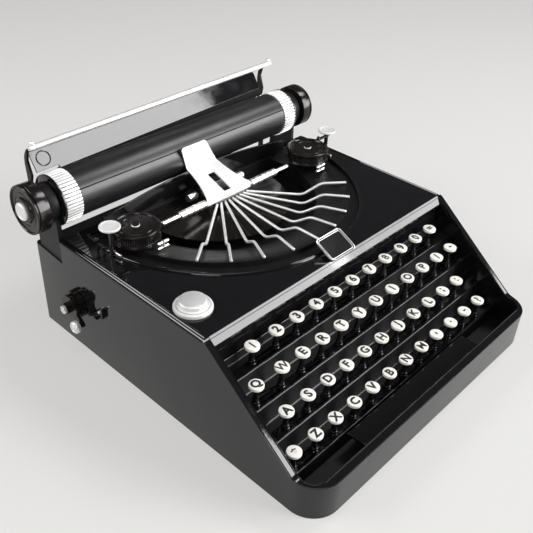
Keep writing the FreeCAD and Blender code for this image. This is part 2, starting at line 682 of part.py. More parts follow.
def platen():
    x = CARRIAGE_X
    across = V(1, 0, 0)
    half = ROLLER_HALF + RING_WIDTH - 0.5
    roller = cylinder(V(x - half, PLATEN_Y, PLATEN_Z), across, ROLLER_RADIUS, 2 * half)
    axle = cylinder(V(x - KNOB_START - 3, PLATEN_Y, PLATEN_Z), across, AXLE_RADIUS, 2 * (KNOB_START + 3))
    body = roller.fuse(axle)
    solids = [body]
    for side in (-1, 1):
        ring = fluted_ring(x + side * ROLLER_HALF, side).cut(body)
        inner = x + side * KNOB_START
        outer = inner + side * KNOB_LENGTH
        knob = revolve_x([(inner, 0), (inner, KNOB_RADIUS - 2), (inner + side * 2, KNOB_RADIUS),
                          (outer - side, KNOB_RADIUS), (outer, KNOB_RADIUS - 1), (outer, KNOB_RADIUS - 2.4),
                          (outer - side * 0.8, KNOB_RADIUS - 2.8), (outer - side * 0.8, 9.0),
                          (outer + side * 0.6, 8.4), (outer + side * 0.6, 0)], PLATEN_Y, PLATEN_Z)
        cap = cylinder(V(outer + side * 0.6, PLATEN_Y, PLATEN_Z), V(side, 0, 0), 6.2, 2.6)
        solids += [ring, knob.cut(axle), cap]
    save("platen", *solids)


def paper_rest():
    """Rod with a nub near each end, a plate leaning back below it, and two uprights behind."""
    x = CARRIAGE_X
    across = V(1, 0, 0)
    rod = cylinder(V(x - REST_HALF, REST_Y, REST_Z), across, REST_ROD, 2 * REST_HALF)
    rod = rod.makeFillet(1.2, [edge for edge in rod.Edges if len(edge.Vertexes) == 1])
    for side in (-1, 1):
        at = V(x + side * (REST_HALF - NUB_INSET), REST_Y, REST_Z + NUB_RISE)
        rod = rod.fuse(Part.makeSphere(NUB_RADIUS, at))
    plate = box(REST_LEFT, REST_RIGHT, REST_BEHIND, REST_BEHIND + SHEET, -REST_DROP, REST_RISE)
    upper = []
    for edge in plate.Edges:
        if edge.CenterOfMass.z > REST_RISE - 0.01 and abs(edge.Vertexes[0].Y - edge.Vertexes[1].Y) > 0.5:
            upper.append(edge)
    plate = plate.makeFillet(REST_CORNER, upper)
    plate.rotate(V(0, 0, 0), across, -REST_LEAN)
    plate.translate(V(0, REST_Y, REST_Z))
    plate = max(plate.cut(rod).Solids, key=lambda solid: solid.Volume)
    for piece in (rod, plate):
        piece.rotate(V(x, REST_Y, REST_Z), V(0, 1, 0), -REST_TILT)
    case = case_block(0)
    arms = []
    for start in (REST_LEFT, RIGHT_ARM_X):
        lift = (start - x) * math.tan(math.radians(REST_TILT))
        head = [(137.3, 122.0), (137.8, 129.0), (137.1, 134.5), (135.6, 137.6), (133.6, 140.6), (131.6, 141.6),
                (131.0, 140.9), (133.0, 136.4), (134.4, 132.0), (131.1, 121.7)]
        head = [(y, z + lift) for y, z in head]
        outline = [(ARM_FRONT, 60), (ARM_REAR, 60), (ARM_REAR, 96.0), (136.4, 104.0)] + head
        outline += [(133.4, 112.0), (133.4, 103.0), (ARM_FRONT, 92.0)]
        arm = side_prism(outline, start, start + ARM_THICKNESS)
        arm = arm.cut(rod).cut(plate).cut(case)
        arms.append(max(arm.Solids, key=lambda solid: solid.Volume))
    return rod, plate, *arms


# ---- spools: flanged drums that turn on their posts ----
def spools():
    for side, name in ((-1, "spool_left"), (1, "spool_right")):
        low = SPOOL_BOTTOM
        top = SPOOL_TOP
        full = SPOOL_RADIUS
        outline = [(POST_OF_SPOOL + RUNNING, low), (full, low), (full, low + 1.4), (full - 1.2, low + 1.8),
                   (full - 1.2, top - 2.6), (full, top - 2.2), (full, top - 0.6), (full - 0.6, top),
                   (full - 3.0, top), (full - 3.6, top - 0.5), (POST_OF_SPOOL + RUNNING, top - 0.5)]
        save(name, revolve_z(outline, side * SPOOL_X, SPOOL_Y))


# ---- crank on the left wall, and the button on the deck ----
def side_crank():
    wall = -HALF_WIDTH
    across = V(-1, 0, 0)
    washer = wall + SHEET + END_PLAY
    outline = [(wall + 5.4, 0), (wall + 5.4, SHAFT_RADIUS), (washer + 1.0, SHAFT_RADIUS),
               (washer + 1.0, 5.5), (washer, 5.5), (washer, SHAFT_RADIUS), (wall - END_PLAY, SHAFT_RADIUS),
               (wall - END_PLAY, 10.2), (wall - 4.0, 10.2), (wall - 4.0, 7.0), (wall - 5.2, 7.0),
               (wall - 5.2, 8.4), (wall - 7.6, 8.4), (wall - 7.6, 4.0), (wall - 11.4, 4.0), (wall - 11.4, 0)]
    hub = revolve_x(outline, CRANK_Y, CRANK_Z)
    reach = math.hypot(HANDLE_Y - CRANK_Y, HANDLE_Z - CRANK_Z)
    arm = box(wall - 7.6, wall - 5.2, 0, reach, -2.6, 2.6)
    arm = arm.fuse(cylinder(V(wall - 5.2, reach, 0), across, 2.6, 2.4))
    turn = math.degrees(math.atan2(HANDLE_Z - CRANK_Z, HANDLE_Y - CRANK_Y))
    arm.rotate(V(0, 0, 0), V(1, 0, 0), turn)
    arm.translate(V(0, CRANK_Y, CRANK_Z))
    neck = cylinder(V(wall - 7.6, HANDLE_Y, HANDLE_Z), across, 1.8, 1.4)
    hub = hub.fuse(arm).fuse(neck).removeSplitter()
    knob = cylinder(V(wall - 9.0, HANDLE_Y, HANDLE_Z), across, 4.6, 4.6)
    knob = knob.makeFillet(1.8, [e for e in knob.Edges if len(e.Vertexes) == 1])
    screw = cylinder(V(wall - 11.4, CRANK_Y, CRANK_Z), across, 2.9, 1.5)
    slot = box(wall - 14, wall - 12.1, CRANK_Y - 3, CRANK_Y + 3, CRANK_Z - 0.4, CRANK_Z + 0.4)
    save("side_crank", hub, knob, screw.cut(slot))


def push_button():
    low = BUTTON_BOTTOM
    top = BUTTON_TOP
    under = DECK_HEIGHT - SHEET - END_PLAY
    outline = [(0, under - 1.4), (6.0, under - 1.4), (6.0, under), (STEM_RADIUS, under), (STEM_RADIUS, low),
               (BUTTON_RADIUS, low), (BUTTON_RADIUS, top - 1.8), (BUTTON_RADIUS - 1.4, top - 0.5),
               (BUTTON_RADIUS - 3.0, top), (0, top)]
    save("push_button", revolve_z(outline, BUTTON_X, BUTTON_Y))


os.makedirs("parts", exist_ok=True)
case_shell()
deck = deck_plate()
save("deck_plate", deck)
keyboard_tiers()
keys()
space_bar()
basket = type_basket()
save("type_basket", basket, fan_plate())
fixed_fittings(deck, basket)
type_bars()
card_guide()
carriage_frame()
platen()
spools()
side_crank()
push_button()
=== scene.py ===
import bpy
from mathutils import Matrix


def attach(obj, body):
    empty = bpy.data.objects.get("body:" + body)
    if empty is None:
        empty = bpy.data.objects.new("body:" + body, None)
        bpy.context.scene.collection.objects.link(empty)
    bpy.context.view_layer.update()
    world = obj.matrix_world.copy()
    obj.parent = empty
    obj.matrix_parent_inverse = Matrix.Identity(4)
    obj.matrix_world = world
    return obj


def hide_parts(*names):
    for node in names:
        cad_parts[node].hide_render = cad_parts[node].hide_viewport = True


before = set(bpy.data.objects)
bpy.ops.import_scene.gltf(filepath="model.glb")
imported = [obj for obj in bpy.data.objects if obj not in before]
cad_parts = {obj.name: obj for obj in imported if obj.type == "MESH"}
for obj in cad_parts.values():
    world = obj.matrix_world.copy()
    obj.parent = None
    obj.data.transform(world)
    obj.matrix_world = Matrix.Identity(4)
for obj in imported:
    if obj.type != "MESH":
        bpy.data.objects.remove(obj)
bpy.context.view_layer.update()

from math import cos, pi, radians, sin, tan

import bmesh
import bpy
from mathutils import Matrix, Quaternion, Vector

# ---------------------------------------------------------------------------
# Case. Sheet iron about a millimetre thick, folded and seamed, then dipped and
# stoved in black lacquer. The edges beside the keyboard are turned in and
# hemmed down. A flat base plate closes it underneath.
# ---------------------------------------------------------------------------
MM = 0.001


def linear(code):
    """sRGB hex colour as the linear colour that a shader takes."""
    parts = [int(code[start:start + 2], 16) / 255 for start in (1, 3, 5)]
    parts = [part / 12.92 if part <= 0.04045 else ((part + 0.055) / 1.055) ** 2.4 for part in parts]
    return (*parts, 1.0)


def add_node(tree, kind, settings, links):
    """One shader node, with its settings and what feeds its inputs."""
    node = tree.nodes.new(kind)
    for name, value in settings.items():
        if isinstance(name, int) or name in node.inputs:
            node.inputs[name].default_value = value
        else:
            setattr(node, name, value)
    for name, source in links.items():
        tree.links.new(source, node.inputs[name])
    return node


def new_finish(name):
    """Empty material: its node tree and its main shader."""
    material = bpy.data.materials.new(name)
    material.use_nodes = True
    tree = material.node_tree
    return material, tree, tree.nodes["Principled BSDF"]


def mottled(name, patch, detail, colours, roughness=(), relief=0.0):
    """Finish whose colour, roughness and relief follow one noise, its patches in millimetres."""
    material, tree, shader = new_finish(name)
    place = add_node(tree, "ShaderNodeTexCoord", {}, {})
    noise = add_node(tree, "ShaderNodeTexNoise", {"Scale": 1 / (patch * MM), "Detail": detail},
                     {"Vector": place.outputs["Object"]})
    shade = add_node(tree, "ShaderNodeValToRGB", {}, {"Fac": noise.outputs["Fac"]})
    for stop, code in zip(shade.color_ramp.elements, colours):
        stop.color = linear(code)
    tree.links.new(shade.outputs["Color"], shader.inputs["Base Color"])
    if roughness:
        gloss = add_node(tree, "ShaderNodeMapRange", {"To Min": roughness[0], "To Max": roughness[1]},
                         {"Value": noise.outputs["Fac"]})
        tree.links.new(gloss.outputs["Result"], shader.inputs["Roughness"])
    if relief:
        bump = add_node(tree, "ShaderNodeBump", {"Strength": relief, "Distance": 0.1 * MM},
                        {"Height": noise.outputs["Fac"]})
        tree.links.new(bump.outputs["Normal"], shader.inputs["Normal"])
    return material, shader


# Stoved black lacquer on sheet iron. A thick glossy film with a faint orange
# peel over sheet that isn't quite flat, so reflections wander, and finger
# smudges that dull it in patches.
SMUDGE = 16.7
PEEL = 2.38
SHEET_WAVE = 45.5
black_lacquer, tree, shader = new_finish("stoved_black_lacquer")
place = add_node(tree, "ShaderNodeTexCoord", {}, {})
smudge = add_node(tree, "ShaderNodeTexNoise",
                  {"Scale": 1 / (SMUDGE * MM), "Detail": 5.0, "Roughness": 0.65},
                  {"Vector": place.outputs["Object"]})
gloss = add_node(tree, "ShaderNodeMapRange",
                 {"From Min": 0.45, "From Max": 0.80, "To Min": 0.05, "To Max": 0.16},
                 {"Value": smudge.outputs["Fac"]})
depth = add_node(tree, "ShaderNodeValToRGB", {}, {"Fac": smudge.outputs["Fac"]})
depth.color_ramp.elements[0].color = linear("#0a0a0b")
depth.color_ramp.elements[1].color = linear("#151416")
peel = add_node(tree, "ShaderNodeTexNoise", {"Scale": 1 / (PEEL * MM), "Detail": 2.0},
                {"Vector": place.outputs["Object"]})
sheet_wave = add_node(tree, "ShaderNodeTexNoise", {"Scale": 1 / (SHEET_WAVE * MM), "Detail": 1.0},
                      {"Vector": place.outputs["Object"]})
wave_bump = add_node(tree, "ShaderNodeBump", {"Strength": 0.5, "Distance": 0.8 * MM},
                     {"Height": sheet_wave.outputs["Fac"]})
peel_bump = add_node(tree, "ShaderNodeBump", {"Strength": 0.10, "Distance": 0.1 * MM},
                     {"Height": peel.outputs["Fac"], "Normal": wave_bump.outputs["Normal"]})
tree.links.new(depth.outputs["Color"], shader.inputs["Base Color"])
tree.links.new(gloss.outputs["Result"], shader.inputs["Roughness"])
tree.links.new(peel_bump.outputs["Normal"], shader.inputs["Normal"])
wave_bump.name = "sheet wave"

# The same lacquer on short folded strips, which stay flat between their folds,
# so their reflections are straight. On the stair it is a thinner, duller coat.
flat_lacquer = black_lacquer.copy()
flat_lacquer.name = "stoved_black_lacquer_on_folded_strip"
flat_lacquer.node_tree.nodes["sheet wave"].inputs["Strength"].default_value = 0.04
stair_lacquer = flat_lacquer.copy()
stair_lacquer.name = "thin_black_lacquer_on_stair"
stair_lacquer.node_tree.nodes["Principled BSDF"].inputs["IOR"].default_value = 1.38

# Black japan on turned and cast pieces. Thinner than the dipped lacquer, with a
# lower, softer shine, fine turning marks and a warm brown cast where it is thin.
turned_japan, shader = mottled("black_japan_on_turned_iron", 7.14, 5.0, ("#0b0a0a", "#1b1513"),
                               (0.12, 0.26), relief=0.12)
shader.inputs["IOR"].default_value = 1.40

# Dull black enamel brushed on the pieces behind the roller. Nearly no shine,
# with brush streaks and dust in it.
dull_enamel, shader = mottled("brushed_dull_black_enamel", 4.55, 6.0, ("#0a0a0b", "#191819"),
                              (0.34, 0.50))
shader.inputs["IOR"].default_value = 1.34


def solids_of(node):
    """The closed solids of a CAD node as separate meshes, each flat face made one."""
    whole = bmesh.new()
    whole.from_mesh(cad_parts[node].data)
    bmesh.ops.remove_doubles(whole, verts=whole.verts, dist=0.002 * MM)
    seen = set()
    found = []
    for start in whole.verts:
        if start in seen:
            continue
        seen.add(start)
        island = [start]
        for vertex in island:
            for edge in vertex.link_edges:
                other = edge.other_vert(vertex)
                if other not in seen:
                    seen.add(other)
                    island.append(other)
        solid = bmesh.new()
        copies = {vertex: solid.verts.new(vertex.co) for vertex in island}
        for face in dict.fromkeys(face for vertex in island for face in vertex.link_faces):
            solid.faces.new([copies[vertex] for vertex in face.verts])
        bmesh.ops.dissolve_limit(solid, angle_limit=radians(0.4), verts=solid.verts, edges=solid.edges)
        bmesh.ops.recalc_face_normals(solid, faces=solid.faces)
        found.append(solid)
    whole.free()
    return found


def middle_of(solid):
    """Middle of a solid's box, in millimetres."""
    low = [min(vertex.co[axis] for vertex in solid.verts) for axis in range(3)]
    high = [max(vertex.co[axis] for vertex in solid.verts) for axis in range(3)]
    return (Vector(low) + Vector(high)) / (2 * MM)


def finished(name, solid, body, nodes, materials, crease=32):
    """Turns a bmesh into a shown piece that rides on a body and stands for the CAD nodes."""
    mesh = bpy.data.meshes.new(name)
    solid.to_mesh(mesh)
    solid.free()
    mesh.shade_smooth()
    mesh.set_sharp_from_angle(angle=radians(crease))
    piece = bpy.data.objects.new(name, mesh)
    for material in materials:
        mesh.materials.append(material)
    bpy.context.scene.collection.objects.link(piece)
    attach(piece, body)
    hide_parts(*nodes)
    return piece


def ease_edges(piece, width, angle=40, steps=2):
    """Rounds the folded or cut edges of a piece."""
    bevel = piece.modifiers.new("eased edges", "BEVEL")
    bevel.width = width * MM
    bevel.segments = steps
    bevel.limit_method = "ANGLE"
    bevel.angle_limit = radians(angle)
    bevel.harden_normals = True
    bevel.use_clamp_overlap = True


def skin(solid, rings, closed=False, finish=0):
    """Adds the surface through rings of points in millimetres, capped unless it closes on itself."""
    loops = [[solid.verts.new(Vector(spot) * MM) for spot in ring] for ring in rings]
    if closed:
        loops.append(loops[0])
        faces = []
    else:
        faces = [solid.faces.new(loops[0]), solid.faces.new(loops[-1])]
    for low, high in zip(loops, loops[1:]):
        for step in range(len(low)):
            after = (step + 1) % len(low)
            faces.append(solid.faces.new([low[step], low[after], high[after], high[step]]))
    for face in faces:
        face.material_index = finish
    bmesh.ops.recalc_face_normals(solid, faces=faces)
    return faces


FOLD_END = -42.0                # the turned edges start at the deck's front
UPWARD = 0.5                    # a face's normal rises more than this where it faces up
UPRIGHT = 0.1                   # and less than this where it is a wall


def fold_line(solid, outward):
    """Points from left to right where the flange turns down, on its outer or its inner side."""
    links = {}
    for edge in solid.edges:
        if len(edge.link_faces) != 2 or not edge.is_convex:
            continue
        top, wall = sorted(edge.link_faces, key=lambda face: -face.normal.z)
        middle = (edge.verts[0].co + edge.verts[1].co) / 2
        away = Vector((middle.x, middle.y, 0)).dot(wall.normal) > 0
        if away != outward or middle.y > FOLD_END * MM:
            continue
        if top.normal.z > UPWARD and abs(wall.normal.z) < UPRIGHT:
            for here, other in (edge.verts, reversed(edge.verts)):
                links.setdefault(here, []).append(other)
    lines = []
    while links:
        here = min(links, key=lambda vertex: len(links[vertex]))
        line = [here]
        while links[here]:
            other = links[here].pop()
            links[other].remove(here)
            line.append(other)
            here = other
        links = {vertex: others for vertex, others in links.items() if others}
        lines.append([vertex.co / MM for vertex in line])
    line = max(lines, key=lambda line: line[0].z)
    return line if line[0].x < line[-1].x else line[::-1]


case_solids = solids_of("case_shell")
shell_solid = max(case_solids, key=lambda solid: len(solid.verts))
folds = (("outer", 1, fold_line(shell_solid, True)), ("inner", -1, fold_line(shell_solid, False)))
FLOOR_SHEET = 2.0               # the case's floor, whose upper side is brushed with dull enamel
for face in shell_solid.faces:
    low = face.calc_center_median().z < FLOOR_SHEET * MM
    face.material_index = 1 if low and face.normal.z > UPWARD else 0
shell = finished("case_shell_sheet", shell_solid, "case",
                 ["case_shell"], [black_lacquer, dull_enamel])
ease_edges(shell, 0.45)

# Bead that the folding press left along both turns of the flange.
BEAD_INSET = 0.54
BEAD_SECTION = ((-0.42, -0.2), (-0.294, 0.238), (0.0, 0.34), (0.294, 0.238), (0.42, -0.2))
for word, inward, line in folds:
    rings = []
    for before, spot, after in zip(line[:1] + line, line, line[1:] + line[-1:]):
        ahead = (after - before).normalized()
        side = Vector((-ahead.y, ahead.x, 0)).normalized() * inward
        up = ahead.cross(side).normalized()
        if up.z < 0:
            up.negate()
        rings.append([spot + side * (BEAD_INSET + out) + up * rise for out, rise in BEAD_SECTION])
    bead = bmesh.new()
    skin(bead, rings)
    finished("flange_bead_" + word, bead, "case", ["case_shell"], [flat_lacquer])

# Of the case's other solids the base plate and the two guides of the space bar
# are shown as they are. The wall catch is built anew further down.
NEAR_MIDDLE = 10.0              # nearer to the middle plane a solid is a plate, not one of a pair
NEAR_WALL = 100.0
for solid in case_solids:
    if solid.is_valid:
        across = middle_of(solid).x
        if across < -NEAR_WALL:
            solid.free()
            continue
        name = "bar_guide_right" if across > 0 else "bar_guide_left"
        if abs(across) < NEAR_MIDDLE:
            name = "base_plate"
        finished(name, solid, "case", ["case_shell"], [black_lacquer])

# ---------------------------------------------------------------------------
# Deck. One plate of the same lacquered iron, folded down along both sides,
# with a sloping strip along its front edge and a bead soldered round the
# opening for the type basket.
# ---------------------------------------------------------------------------
finished("deck_sheet", solids_of("deck_plate")[0], "case", ["deck_plate"],
         [black_lacquer])

# Ridge along both folds, from the deck's front to the carriage.
FOLD_LINE = 122.0               # where the top of the deck turns into its side folds
SEAM_FOOT = 83.9
SEAM_ENDS = (-40.5, 98.0)
SEAM_SECTION = ((1.0, 0.0), (0.2, 0.75), (-0.1, 0.82), (-0.4, 0.7), (-0.8, 0.0))
SIDES = ((-1, "left"), (1, "right"))
for side, word in SIDES:
    ridge = bmesh.new()
    skin(ridge, [[(side * (FOLD_LINE + out), y, SEAM_FOOT + rise) for out, rise in SEAM_SECTION]
                 for y in SEAM_ENDS])
    finished("deck_seam_" + word, ridge, "case", ["deck_plate"], [flat_lacquer])

# ---------------------------------------------------------------------------
# Keyboard stair. One folded sheet with four treads, lacquered with the case.
# On each tread a stepped bush, pressed from thin iron, guides a key's post.
# ---------------------------------------------------------------------------
stair_solid = solids_of("keyboard_tiers")[0]
RISER = 0.4                     # a steeper face than this is a riser, and duller than a tread
for face in stair_solid.faces:
    face.material_index = 1 if abs(face.normal.z) < RISER else 0
stair = finished("keyboard_stair", stair_solid, "case",
                 ["keyboard_tiers"], [stair_lacquer, dull_enamel])
ease_edges(stair, 0.8, steps=3)


def turned(solid, profile, centre, axis="z", sides=48, finish=0, way=1):
    """Adds a turned part from (radius, distance along the axis) points, hollow where they close."""
    rings = []
    closed = profile[0] == profile[-1]
    for radius, distance in profile[:-1] if closed else profile:
        ring = []
        along = way * distance
        for step in range(sides if radius > 0 else 1):
            angle = 2 * pi * step / sides
            a = radius * cos(angle)
            b = radius * sin(angle)
            local = {"x": (along, a, b), "y": (b, along, a), "z": (a, b, along)}[axis]
            ring.append(solid.verts.new([(c + p) * MM for c, p in zip(centre, local)]))
        rings.append(ring)
    if closed:
        rings.append(rings[0])
    faces = []
    for low, high in zip(rings, rings[1:]):
        if len(low) == 1 and len(high) == 1:
            continue
        for step in range(sides):
            after = (step + 1) % sides
            corners = [low[step % len(low)], low[after % len(low)],
                       high[after % len(high)], high[step % len(high)]]
            faces.append(solid.faces.new(list(dict.fromkeys(corners))))
    for ring in (rings[0], rings[-1]):
        if len(ring) > 1 and rings[0] is not rings[-1]:
            faces.append(solid.faces.new(ring))
    for face in faces:
        face.material_index = finish
    bmesh.ops.recalc_face_normals(solid, faces=faces)


ROW_STEP = 16.25
ROW_DROP = 14.4
FIRST_ROW_Y = -52.1
FIRST_TREAD = 54.0
KEY_PITCH = 19.0
ROW_FIRST_X = (-92.6, -104.2, -97.2, -107.4)
FIRST_KEY_OUT = (2.3, 3.4, 0.7, 0.6)
ROW_COUNT = (11, 12, 11, 12)


def key_places():
    """Row, column and foot of each key, in millimetres, from the deck towards the front."""
    for row, count in enumerate(ROW_COUNT):
        for column in range(count):
            x = ROW_FIRST_X[row] + column * KEY_PITCH
            if column == 0:
                x -= FIRST_KEY_OUT[row]
            yield row, column, (x, FIRST_ROW_Y - row * ROW_STEP, FIRST_TREAD - row * ROW_DROP)


POST_RADIUS = 1.5
BUSH_BORE = POST_RADIUS + 0.05
BUSH_PROFILE = ((BUSH_BORE, 5.7), (1.9, 5.7), (2.0, 5.5), (2.0, 4.3), (1.8, 3.9), (2.2, 3.8), (2.4, 3.6),
                (2.4, 2.4), (2.1, 2.0), (2.7, 1.9), (2.9, 1.7), (2.9, 0.0), (BUSH_BORE, 0.0),
                (BUSH_BORE, 5.7))


def fitting(name, solid, *materials):
    """A small fixed piece, which rides on the case and stands for its share of a CAD node."""
    return finished(name, solid, "case", ["fixed_fittings"], materials)


bushes = bmesh.new()
for row, column, foot in key_places():
    turned(bushes, BUSH_PROFILE, foot, sides=24)
fitting("key_bushes", bushes, black_lacquer)

# ---------------------------------------------------------------------------
# Keys. A round moulded cap, white and glossy, its character printed in black,
# pressed on a blacked iron post. A clip under the tread keeps it in.
# ---------------------------------------------------------------------------
# Moulded white urea plastic. Hard and glossy, a little cream in its depth,
# with faint sink and a handled surface.
white_cap, shader = mottled("moulded_white_urea", 4.17, 3.0, ("#ece9e0", "#f6f4ee"),
                            (0.16, 0.34), relief=0.08)

# Black printing ink. Thin and half glossy, a little starved in the middle of
# its strokes.
key_ink, shader = mottled("black_printing_ink", 1.11, 2.0, ("#0d0d0e", "#222124"))
shader.inputs["Roughness"].default_value = 0.42

CAP_RADIUS = 4.85
CAP_THICKNESS = 2.2
CAP_EDGE = 0.55
KEY_HEIGHT = 15.4
TALL_ROW = 1                    # the second row's keys stand a little higher
TALLER = 2.0
CLIP_TOP = -1.6                 # under the tread, which is 1.2 mm thick
LETTER_SIZE = 8.1
LETTER_BOLD = 0.33
CROWDED = "MW81"                # characters of many strokes are cut finer
CROWDED_BOLD = 0.17
INK_THICKNESS = 0.04
LEGENDS = ("1234567890=", "QWERTYUIOP/-", "ASDFGHJKL;:", "*ZXCVBNM,.-?")


def rounded(points, radius, steps=3):
    """The same open line of points, with each corner turned through an arc."""
    line = [Vector(points[0])]
    for before, corner, after in zip(points, points[1:], points[2:]):
        corner = Vector(corner)
        back = Vector(before) - corner
        ahead = Vector(after) - corner
        half = back.angle(ahead) / 2
        cut = min(radius / max(abs(sin(half) / max(cos(half), 1e-4)), 1e-4), 0.48 * back.length,
                  0.48 * ahead.length)
        first = corner + back.normalized() * cut
        last = corner + ahead.normalized() * cut
        for step in range(steps + 1):
            share = step / steps
            line.append(first.lerp(corner, share).lerp(corner.lerp(last, share), share))
    line.append(Vector(points[-1]))
    return line


def letter_mesh(character):
    """One character as a thin flat solid, centred, in millimetres."""
    curve = bpy.data.curves.new("letter", "FONT")
    curve.body = character
    curve.size = LETTER_SIZE
    curve.offset = CROWDED_BOLD if character in CROWDED else LETTER_BOLD
    curve.extrude = INK_THICKNESS / 2
    curve.resolution_u = 3
    text = bpy.data.objects.new("letter", curve)
    mesh = bpy.data.meshes.new_from_object(text)
    bpy.data.objects.remove(text)
    xs = [vertex.co.x for vertex in mesh.vertices]
    ys = [vertex.co.y for vertex in mesh.vertices]
    mesh.transform(Matrix.Translation((-(min(xs) + max(xs)) / 2, -(min(ys) + max(ys)) / 2, 0)))
    return mesh


for row, column, foot in key_places():
    node = "key_row%d_%02d" % (row + 1, column + 1)
    top = KEY_HEIGHT + (TALLER if row == TALL_ROW else 0.0)
    bottom = top - CAP_THICKNESS
    key = bmesh.new()
    cap = rounded([(0, top), (CAP_RADIUS, top), (CAP_RADIUS, bottom), (0, bottom)], CAP_EDGE)
    turned(key, [tuple(point) for point in cap], foot)
    turned(key, [(0, bottom), (2.3, bottom), (2.3, bottom - 0.9), (POST_RADIUS, bottom - 1.5),
                 (POST_RADIUS, CLIP_TOP), (2.7, CLIP_TOP), (2.7, CLIP_TOP - 1.0), (0, CLIP_TOP - 1.0)],
           foot, sides=20, finish=2)
    ink = letter_mesh(LEGENDS[row][column])
    ink.transform(Matrix.Translation((foot[0], foot[1], foot[2] + top)))
    ink.transform(Matrix.Scale(MM, 4))
    before = set(key.faces)
    key.from_mesh(ink)
    for face in key.faces:
        if face not in before:
            face.material_index = 1
    bpy.data.meshes.remove(ink)
    finished(node + "_cap", key, node, [node], [white_cap, key_ink, black_lacquer])

# ---------------------------------------------------------------------------
# Space bar. A flat bar of lacquered sheet iron with a turned front edge, on two
# round legs that slide in guides on the base plate.
# ---------------------------------------------------------------------------
for solid in solids_of("space_bar"):
    across = middle_of(solid).x
    name = "space_bar_leg_right" if across > 0 else "space_bar_leg_left"
    if abs(across) < NEAR_MIDDLE:
        name = "space_bar_plate"
    finished(name, solid, "space_bar", ["space_bar"], [black_lacquer])

# ---------------------------------------------------------------------------
# Type basket. A dish spun from sheet iron, with a raised sloping ring and dull
# enamel, and inside it a shallow japanned plate that the type bars lie over.
# ---------------------------------------------------------------------------
FAN_TOP = 81.0
for solid in solids_of("type_basket"):
    name = "basket_dish"
    finish = dull_enamel
    if max(vertex.co.z for vertex in solid.verts) < FAN_TOP * MM:
        name = "fan_plate"
        finish = turned_japan
    finished(name, solid, "case", ["type_basket"], [finish])

# ---------------------------------------------------------------------------
# Small fittings, turned or cut from iron and zinc and fixed to the deck: bezel
# round the push button, name plate on its wedge, and beside each spool a thumb
# disc on a post, two pins, a bar and a fork.
# ---------------------------------------------------------------------------
# Nickel plate over brushed steel. Bright and white, with fine drawing lines
# that spread the reflection, and faint handling marks.
nickel, shader = mottled("brushed_nickel_plate", 3.33, 4.0, ("#dedcd8", "#f4f3f1"),
                         (0.26, 0.44), relief=0.1)
shader.inputs["Metallic"].default_value = 1.0

# Blasted and tin-washed steel sheet. Almost white, with a soft even sheen and
# no image in it, greyer where fingers have rubbed it.
satin_nickel, shader = mottled("tin_washed_steel", 6.25, 5.0, ("#e6e5e3", "#f7f7f6"),
                               (0.42, 0.56), relief=0.1)
shader.inputs["Metallic"].default_value = 0.75

# Zinc sheet, buffed and left. Pale and cloudy, almost without reflections.
buffed_zinc, shader = mottled("buffed_zinc", 7.69, 5.0, ("#d2d1cf", "#f0f0ef"), (0.40, 0.60))
shader.inputs["Metallic"].default_value = 0.35


def slab(solid, outline, axis, start, end):
    """Adds a flat part: a closed outline in millimetres, extruded along an axis."""
    skin(solid, [[{"x": (along, a, b), "y": (a, along, b), "z": (a, b, along)}[axis]
                  for a, b in outline] for along in (start, end)])


DECK_TOP = 84.0
BUTTON_X = -108.2
BUTTON_Y = -14.8
bezel = bmesh.new()
turned(bezel, [(10.25, 0.0), (12.4, 0.0), (12.4, 1.2), (12.0, 2.0), (11.3, 2.4), (10.6, 2.4),
               (10.25, 2.1), (10.25, 0.0)], (BUTTON_X, BUTTON_Y, DECK_TOP), sides=72)
fitting("button_bezel", bezel, buffed_zinc)

